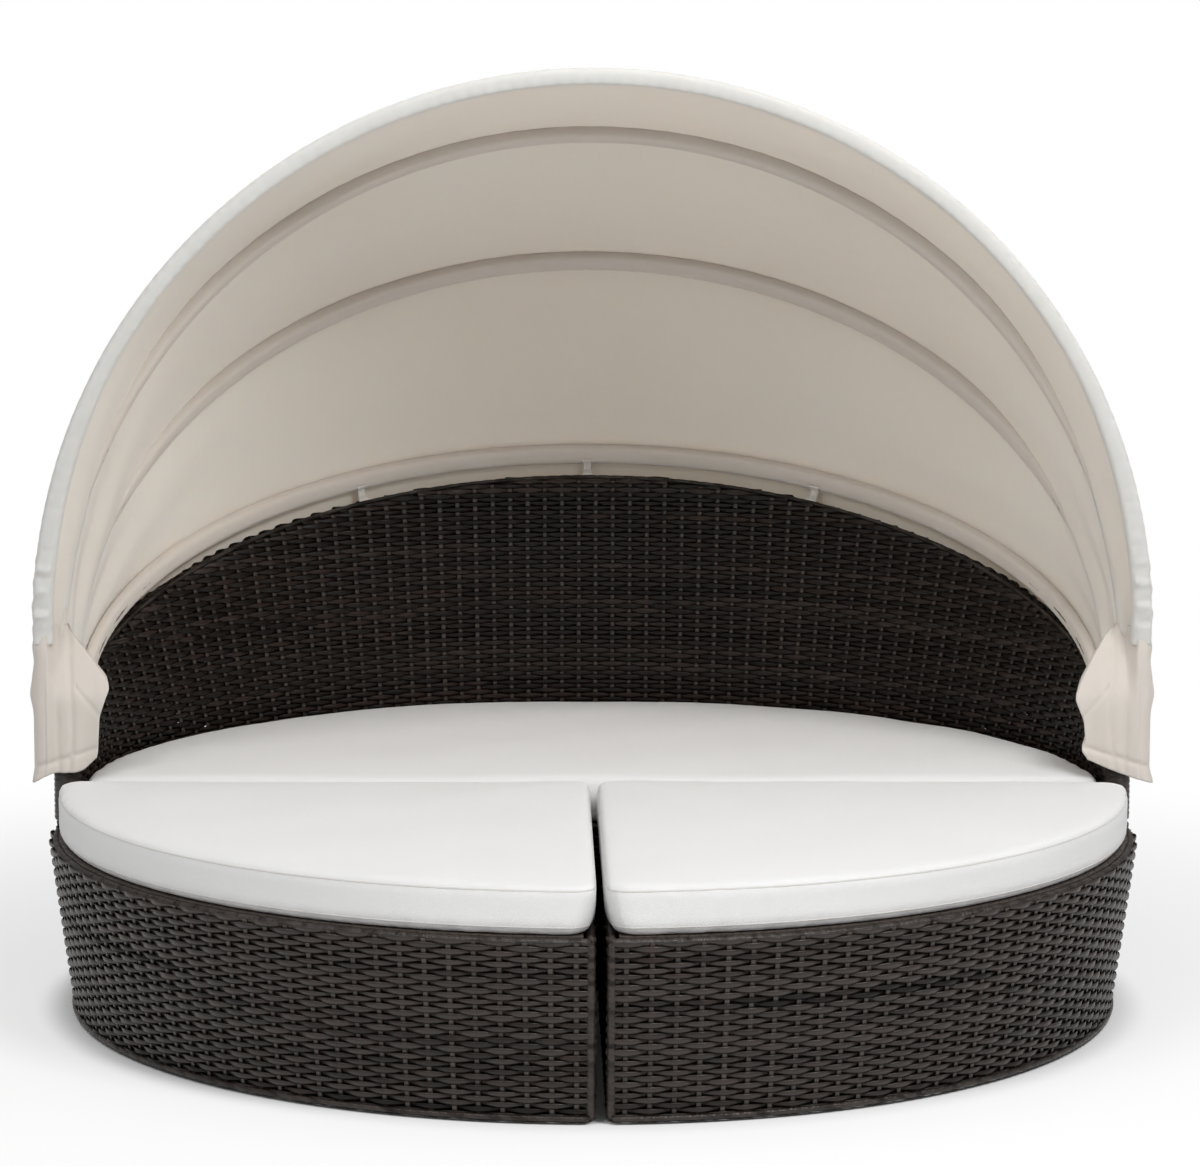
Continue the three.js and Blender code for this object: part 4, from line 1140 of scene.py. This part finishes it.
def hem_rows(lower, s_low):
    """The rear panel's hem: round the top roll, straight up to the rear bow, and round its tube."""
    edge = bow_point(lower, s_low, CLOTH_OUT, 20.0)
    bearing = np.arctan2(edge[:, 1], edge[:, 0])
    roll_z = CREST_AT_ARMS - ROLL_RADIUS + CREST_SLOPE * WALL_MID * np.sin(bearing)
    away = np.hypot(edge[:, 0], edge[:, 1]) - WALL_MID
    above = edge[:, 2] - roll_z
    touch = np.arctan2(above, away) - np.arccos(HEM_RADIUS / np.hypot(away, above))
    rows = []
    for t in np.linspace(0, 1, 7):
        turn = HEM_END + (touch - HEM_END) * t
        reach = WALL_MID + HEM_RADIUS * np.cos(turn)
        rows.append(np.stack([reach * np.cos(bearing), reach * np.sin(bearing),
                              roll_z + HEM_RADIUS * np.sin(turn)], -1))
    last = rows[-1]
    rows += [last + (edge - last) * t for t in np.linspace(0, 1, 6)[1:-1]]
    return rows + [bow_point(lower, s_low, CLOTH_OUT, turn) for turn in (20.0, 10.0)]


def panel_rows(lower, upper):
    share = np.linspace(0, 1, COLUMNS + 1)
    s_low, s_high = [PANEL_START + (bow_length(bow) - 2 * PANEL_START) * share for bow in (lower, upper)]
    low = bow_point(lower, s_low, cloth_offset(lower, s_low), 0.0)
    high = bow_point(upper, s_high, cloth_offset(upper, s_high), 0.0)
    rows = hem_rows(lower, s_low) if lower == "rear" else []
    side = np.abs(2 * share - 1)
    for row in np.linspace(0, 1, PANEL_ROWS):
        point = low + (high - low) * row
        inward = np.array([0.0, PIVOT_Y, PIVOT_Z]) - point
        inward /= np.linalg.norm(inward, axis=1, keepdims=True)
        rise = math.sin(math.pi * row)
        sag = PANEL_SAG * np.sin(math.pi * share) * rise
        x = point[:, 0]
        soft = 0.0022 * np.sin(7.0 * x + 5.0 * row + 1.1) * rise
        soft += 0.0016 * np.sin(17.0 * x - 9.0 * row + 0.4) * rise
        drag = 0.0045 * side ** 3 * np.sin(34 * share + 7.0 * row) * rise
        near = math.exp(-min(row, 1 - row) / 0.05)
        pucker = 0.0009 * near * np.sin(share * 330) * (1 - abs(2 * row - 1) ** 30)
        rows.append(point + inward * (sag + soft + drag + pucker)[:, None])
    return np.array(rows)


panels = [
    ("rear", "rear", "middle_rear", "rear_section", "middle_rear_bow"),
    ("middle", "middle_rear", "middle_front", "middle_rear_bow", "middle_front_bow"),
    ("front", "middle_front", "front", "middle_front_bow", "front_bow"),
]
for name, lower, upper, low_body, high_body in panels:
    piece = sewn(f"canopy_{name}_sheet", panel_rows(lower, upper), 0.0016, canopy_cloth,
                 f"canopy_{name}_panel")
    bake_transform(piece)


# Bow sleeves: strips of the same cloth sewn under the sheet round each tube. From inside they show as
# flat, darker bands, partly because the doubled cloth lets less light through and partly as painted shade:
# the rear three are coloured darker than the sheet. Outside they show as a narrow doubled seam. The front
# one bunches up above each arm.

SLEEVE_START = PANEL_START - 0.012
SLEEVE_SIDE = 0.0165
SLEEVE_STEPS = 24
SLEEVE_INNER = 0.0118
SLEEVE_OUTER = 0.0152
SLEEVE_CLOSE = 0.0102
FRONT_SLEEVE_WIDE = 0.0172
# Painted shade: the sleeves of the three rear bows are coloured darker than the sheet's cloth.
sleeve_cloth_painted_shade = canopy_finish("sleeve_cloth_painted_shade", linear(230, 220, 209), linear(214, 203, 192), 0.3)


def sleeve_rows(bow, columns):
    s = np.linspace(SLEEVE_START, bow_length(bow) - SLEEVE_START, columns)
    end = np.minimum(s, bow_length(bow) - s)
    bunched = smooth(end, 0.09, 0.12) * (1 - smooth(end, 0.21, 0.24)) * (bow == "front")
    tight = 1 - smooth(end, 0.25, 0.60)
    side = SLEEVE_SIDE + (SLEEVE_CLOSE - SLEEVE_SIDE) * tight * bow.startswith("middle")
    rows = []
    for k in range(SLEEVE_STEPS):
        a = 2 * math.pi * k / SLEEVE_STEPS
        c, n = math.cos(a), math.sin(a)
        flat = side * math.copysign(abs(n) ** 0.7, n)
        loose = SLEEVE_OUTER if c > 0 else SLEEVE_INNER
        close = SLEEVE_CLOSE
        if bow == "front":
            close = SLEEVE_OUTER if c > 0 else FRONT_SLEEVE_WIDE
        out = (loose + (close - loose) * tight) * math.copysign(abs(c) ** 0.55, c)
        crease = 0.0005 * np.sin(s * 260 + 5 * n) * (0.4 + 0.6 * abs(n))
        pleat = 0.0016 + 0.0024 * np.sin(s * 150 + 1.6 * n + 0.8 * c) + 0.0010 * np.sin(s * 330 - 2.2 * n)
        crease += bunched * pleat * (c > -0.3) * (1.0 - 0.5 * (c > 0.6))
        rows.append(bow_point(bow, s, np.hypot(flat, out) + crease, np.degrees(np.arctan2(flat, out))))
    return np.array(rows)


sleeves = [
    ("rear", "rear_section", sleeve_cloth_painted_shade, 260),
    ("middle_rear", "middle_rear_bow", sleeve_cloth_painted_shade, 260),
    ("middle_front", "middle_front_bow", sleeve_cloth_painted_shade, 260),
    ("front", "front_bow", canopy_cloth, 640),
]
for bow, body, finish, columns in sleeves:
    piece = sewn(f"{bow}_bow_sleeve", sleeve_rows(bow, columns), 0.0010, finish,
                 closed=True)
    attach(piece, body)


# Side flaps: the canopy's corners. Each wraps the bow ends and the top of the arm, hangs in soft upright
# folds, and ends in a curled hem over the arm post.

FLAP_LOW = 0.36
FLAP_TOP = 0.6150
FLAP_OUT = 0.9300
FLAP_FRONT = 0.0040
FLAP_CORNER = 0.022
FLAP_BACK = 0.236
FLAP_RETURN = 0.090
FLAP_RETURN_SLANT = 0.24
FLAP_RETURN_RISE = 0.026
FLAP_FOLD_LIMIT = 0.0040
BOLT_BULGE = 0.0066
HEM_FLARE = {"left": 0.0035, "right": 0.0060}
INNER_EDGE = {
    "left": [(0.372, 0.8300), (0.409, 0.8235), (0.468, 0.8203), (0.500, 0.8095), (0.5150, 0.8035),
             (0.5225, 0.8085), (0.5580, 0.8340), (0.5880, 0.8610), (0.6150, 0.8760)],
    "right": [(0.372, 0.8290), (0.3947, 0.8260), (0.4116, 0.8130), (0.4252, 0.8205), (0.4606, 0.8175),
              (0.4960, 0.8030), (0.5070, 0.8060), (0.5620, 0.8350), (0.5950, 0.8570), (0.6150, 0.8760)],
}
LOWER_EDGE = {
    "left": [(0.7985, 0.412), (0.8230, 0.4020), (0.8450, 0.3800), (0.8614, 0.3745), (0.8960, 0.3740),
             (0.9130, 0.3650), (0.9300, 0.3540)],
    "right": [(0.8030, 0.404), (0.8282, 0.3940), (0.8500, 0.3840), (0.8750, 0.3740), (0.9000, 0.3640),
              (0.9300, 0.3530)],
}
# The flaps are the canopy's cloth, coloured darker than the sheet as painted shade.
flap_cloth = canopy_finish("flap_cloth", linear(222, 214, 206), linear(209, 200, 191), 0.5)


def eased(value, points):
    """A soft curve through the points."""
    at, heights = np.array(points).T
    shifts = np.linspace(-0.005, 0.005, 7)
    return sum(np.interp(value + shift, at, heights) for shift in shifts) / len(shifts)


def ridge(distance, width):
    return np.exp(-(distance / width) ** 2)


def flap_row(side, h):
    """The front and the points across a flap at a share of its height, from its rear edge to its return.

    Each point has its shares of the front face and of the return."""
    level = FLAP_LOW + (FLAP_TOP - FLAP_LOW) * h
    gather = float(smooth(level, 0.560, FLAP_TOP))
    outer = FLAP_OUT - 0.0012 * gather
    front = FLAP_FRONT + 0.0060 * gather
    inner = 0.83
    for _ in range(4):
        low_end = float(eased(inner, LOWER_EDGE[side]))
        inner = float(eased(low_end + (FLAP_TOP - low_end) * h, INNER_EDGE[side]))
    reach = FLAP_RETURN * (1 - 0.88 * float(smooth(level, 0.440, 0.510)))
    columns = [(outer, y, 0.0, 0.0) for y in np.linspace(FLAP_BACK, front + FLAP_CORNER, 40)]
    columns += [(outer - FLAP_CORNER * (1 - math.cos(a)), front + FLAP_CORNER * (1 - math.sin(a)), 0.0, 0.0)
                for a in np.linspace(0, math.pi / 2, 16)[1:]]
    columns += [(outer - FLAP_CORNER + (inner - outer + FLAP_CORNER) * u, front, u, 0.0)
                for u in np.linspace(0, 1, 72)[1:]]
    columns += [(inner + FLAP_RETURN_SLANT * reach * w, front + reach * w, 1.0, w)
                for w in np.linspace(0, 1, 20)[1:]]
    return front, np.array(columns).T


def flap_rows(side, hand):
    rows = []
    for h in np.linspace(0, 1, 76):
        front, (x, y, u, w) = flap_row(side, h)
        on_side = x > 0.9
        rear = smooth(y, 0.02, FLAP_BACK) * on_side
        bottom = eased(x, LOWER_EDGE[side]) + 0.13 * rear + FLAP_RETURN_RISE * np.sqrt(w)
        top = FLAP_TOP - 0.045 * smooth(y, 0.05, FLAP_BACK) * on_side
        z = bottom + (top - bottom) * h
        on_face = (w == 0) & (y < front + FLAP_CORNER + 0.001)
        outside = smooth(x, 0.885, 0.925)
        line = 0.868 + 0.010 * smooth(z, 0.58, 0.64) + 0.004 * np.sin(z * 24)
        folds = on_face * sum(depth * ridge(off, width) * where for depth, off, width, where in (
            (0.0034, x - line, 0.0055, 1),
            (0.0026, x - 0.889 + 0.05 * np.clip(0.42 - z, 0, 1), 0.005, smooth(0.52 - z, 0.0, 0.06)),
            (0.0022, z - 0.4763 - 1.15 * (x - 0.825), 0.006, x < 0.86),
            (0.0030, z - 0.3860 - 0.32 * (0.915 - x), 0.0045, x < 0.935),
        ))
        y = y + np.minimum(folds, FLAP_FOLD_LIMIT)
        low = (1 - h) ** 0.8
        y = y - on_face * 0.0030 * (0.5 + 0.5 * np.sin((x - 0.80) * 118 + 2.2 * h)) * low * (u > 0)
        above = z - 0.500
        y = y + 0.245 * (np.sqrt(above ** 2 + 0.012 ** 2) + above) * smooth(0.908 - x, 0.0, 0.019)
        x = x + 0.0016 * np.sin(z * 120 + 24 * y) * outside * smooth(z, 0.44, 0.60)
        x = x - (0.0020 + 0.0022 * np.sin(y * 66 + 2.0 * h)) * (1 - h) * (y > 0.035) * outside
        x = x + BOLT_BULGE * ridge(np.hypot(z - PIVOT_Z, y - PIVOT_Y), 0.02) * (x > 0.915)
        hem = ridge(z - bottom, 0.016)
        x = x + HEM_FLARE[side] * hem * outside * (y < 0.12)
        y = np.maximum(y - 0.0016 * hem * on_face, -0.0015)
        rows.append(np.stack([hand * x, y, z], -1))
    return np.array(rows)


for name, hand in (("left", -1), ("right", 1)):
    piece = sewn(f"{name}_side_flap_cloth", flap_rows(name, hand), 0.0016, flap_cloth,
                 f"{name}_side_flap")
    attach(piece, "rear_section")


# Tie straps: three short loops of canopy cloth that hold the rear bow down on the top roll.

STRAP_TUBE = 0.0170
STRAP_ROLL = 0.0232
STRAP_SIDE = 0.011


def strap_rows(offset):
    half_width, leg, _ = BOWS["rear"]
    tube = bow_point("rear", leg + half_width * math.acos(offset / half_width), 0.0, 0.0)
    bearing = math.atan2(tube[1], tube[0])
    c, s = math.cos(bearing), math.sin(bearing)
    tube_out = math.hypot(tube[0], tube[1]) - WALL_MID
    roll_z = CREST_AT_ARMS + CREST_SLOPE * WALL_MID * s - ROLL_RADIUS
    line = []
    for out, z, radius, turns in (
        (tube_out, tube[2], STRAP_TUBE, np.linspace(212, 246, 6)),
        (0.0, roll_z, STRAP_ROLL, np.linspace(92, 118, 7)),
    ):
        line += [(out + radius * math.cos(turn), z + radius * math.sin(turn)) for turn in np.radians(turns)]
    rows = []
    for step, (out, z) in enumerate(line):
        waist = 1 - 0.35 * math.sin(math.pi * step / (len(line) - 1))
        row = []
        for w in np.linspace(-STRAP_SIDE, STRAP_SIDE, 17):
            r = WALL_MID + out - 0.0012 * math.cos(w * 1300)
            w *= waist
            row.append((r * c - w * s, r * s + w * c, z + w * CREST_SLOPE * c))
        rows.append(row)
    return np.array(rows)


for name, offset in (("left", -0.42), ("middle", 0.0), ("right", 0.42)):
    piece = sewn(f"{name}_tie_loop", strap_rows(offset), 0.0012, canopy_cloth,
                 f"{name}_tie_strap")
    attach(piece, "rear_section")


# Floor, light and camera of the photograph: pale ground, soft light from the front and above.

WHITE = (1.0, 1.0, 1.0, 1.0)


def studio_floor():
    made = bpy.data.meshes.new("studio_floor")
    made.from_pydata([(-40, -40, 0), (40, -40, 0), (40, 40, 0), (-40, 40, 0)], [], [(0, 1, 2, 3)])
    finish, shader, place = new_finish("studio_floor")
    fill(shader, {"Base Color": linear(246, 246, 246), "Roughness": 0.95, "Specular IOR Level": 0.1})
    tree = place.tree
    distance = add(tree, "ShaderNodeVectorMath", {0: place}, "Value", operation="LENGTH")
    glow = add(tree, "ShaderNodeEmission", {"Strength": 1.0})
    rays = add(tree, "ShaderNodeLightPath", {}).socket.node.outputs
    seen = Wire(tree, rays["Is Camera Ray"]) + Wire(tree, rays["Is Glossy Ray"])
    open_floor = spread(distance, 0.86, 0.93, 0.0, 0.6) + spread(distance, 1.0, 2.4, 0.0, 0.4)
    share = seen.math("MINIMUM", 1.0) * open_floor
    mix = add(tree, "ShaderNodeMixShader", {0: share, 1: Wire(tree, shader.outputs[0]), 2: glow})
    fill(tree.nodes["Material Output"], {"Surface": mix})
    made.materials.append(finish)
    new_piece("studio_floor", made)


studio_floor()
scene = bpy.context.scene
scene.view_settings.view_transform = "Standard"
world = bpy.data.worlds.new("studio")
scene.world = world
world.use_nodes = True
sky = world.node_tree
fill(sky.nodes["Background"], {"Color": WHITE, "Strength": 0.36})
lit = Wire(sky, sky.nodes["Background"].outputs[0])
white = add(sky, "ShaderNodeBackground", {"Color": WHITE, "Strength": 1.0})
seen = add(sky, "ShaderNodeLightPath", {}, "Is Camera Ray")
both = add(sky, "ShaderNodeMixShader", {0: seen, 1: lit, 2: white})
fill(sky.nodes["World Output"], {"Surface": both})


def softbox(name, place, aim, size, power):
    light = bpy.data.lights.new(name, "AREA")
    light.shape = "SQUARE"
    light.size = size
    light.energy = power
    lamp = new_piece(name, light)
    lamp.location = place
    lamp.rotation_mode = "QUATERNION"
    lamp.rotation_quaternion = (Vector(aim) - Vector(place)).to_track_quat("-Z", "Y")


softbox("key_light", (1.9, -2.6, 3.8), (0.0, 0.1, 0.6), 1.6, 117.0)
softbox("fill_light", (-1.9, -2.8, 3.8), (0.0, 0.1, 0.6), 2.0, 58.0)
softbox("top_light", (0.0, -0.2, 4.4), (0.0, 0.0, 0.5), 3.0, 20.0)

PHOTO_WIDTH = 1200
FOCAL_PIXELS = 4231.35
SENSOR = 36.0
CAMERA_DISTANCE = 7.0
CAMERA_AIM = Vector((0.0104, 0.0, 0.6928))
CAMERA_ROLL = math.radians(0.123)
rise = math.radians(7.474)
bearing = math.radians(-0.887)
back = Vector((math.sin(bearing) * math.cos(rise), -math.cos(bearing) * math.cos(rise), math.sin(rise)))
lens = bpy.data.cameras.new("photo_camera")
lens.sensor_width = SENSOR
lens.lens = FOCAL_PIXELS / PHOTO_WIDTH * SENSOR
lens.clip_start = 0.1
lens.clip_end = 100.0
camera = new_piece("photo_camera", lens)
camera.location = CAMERA_AIM + back * CAMERA_DISTANCE
camera.rotation_mode = "QUATERNION"
level = (-back).to_track_quat("-Z", "Y").to_matrix()
camera.rotation_quaternion = (level @ Matrix.Rotation(CAMERA_ROLL, 3, "Z")).to_quaternion()
scene.camera = camera

bpy.context.view_layer.update()
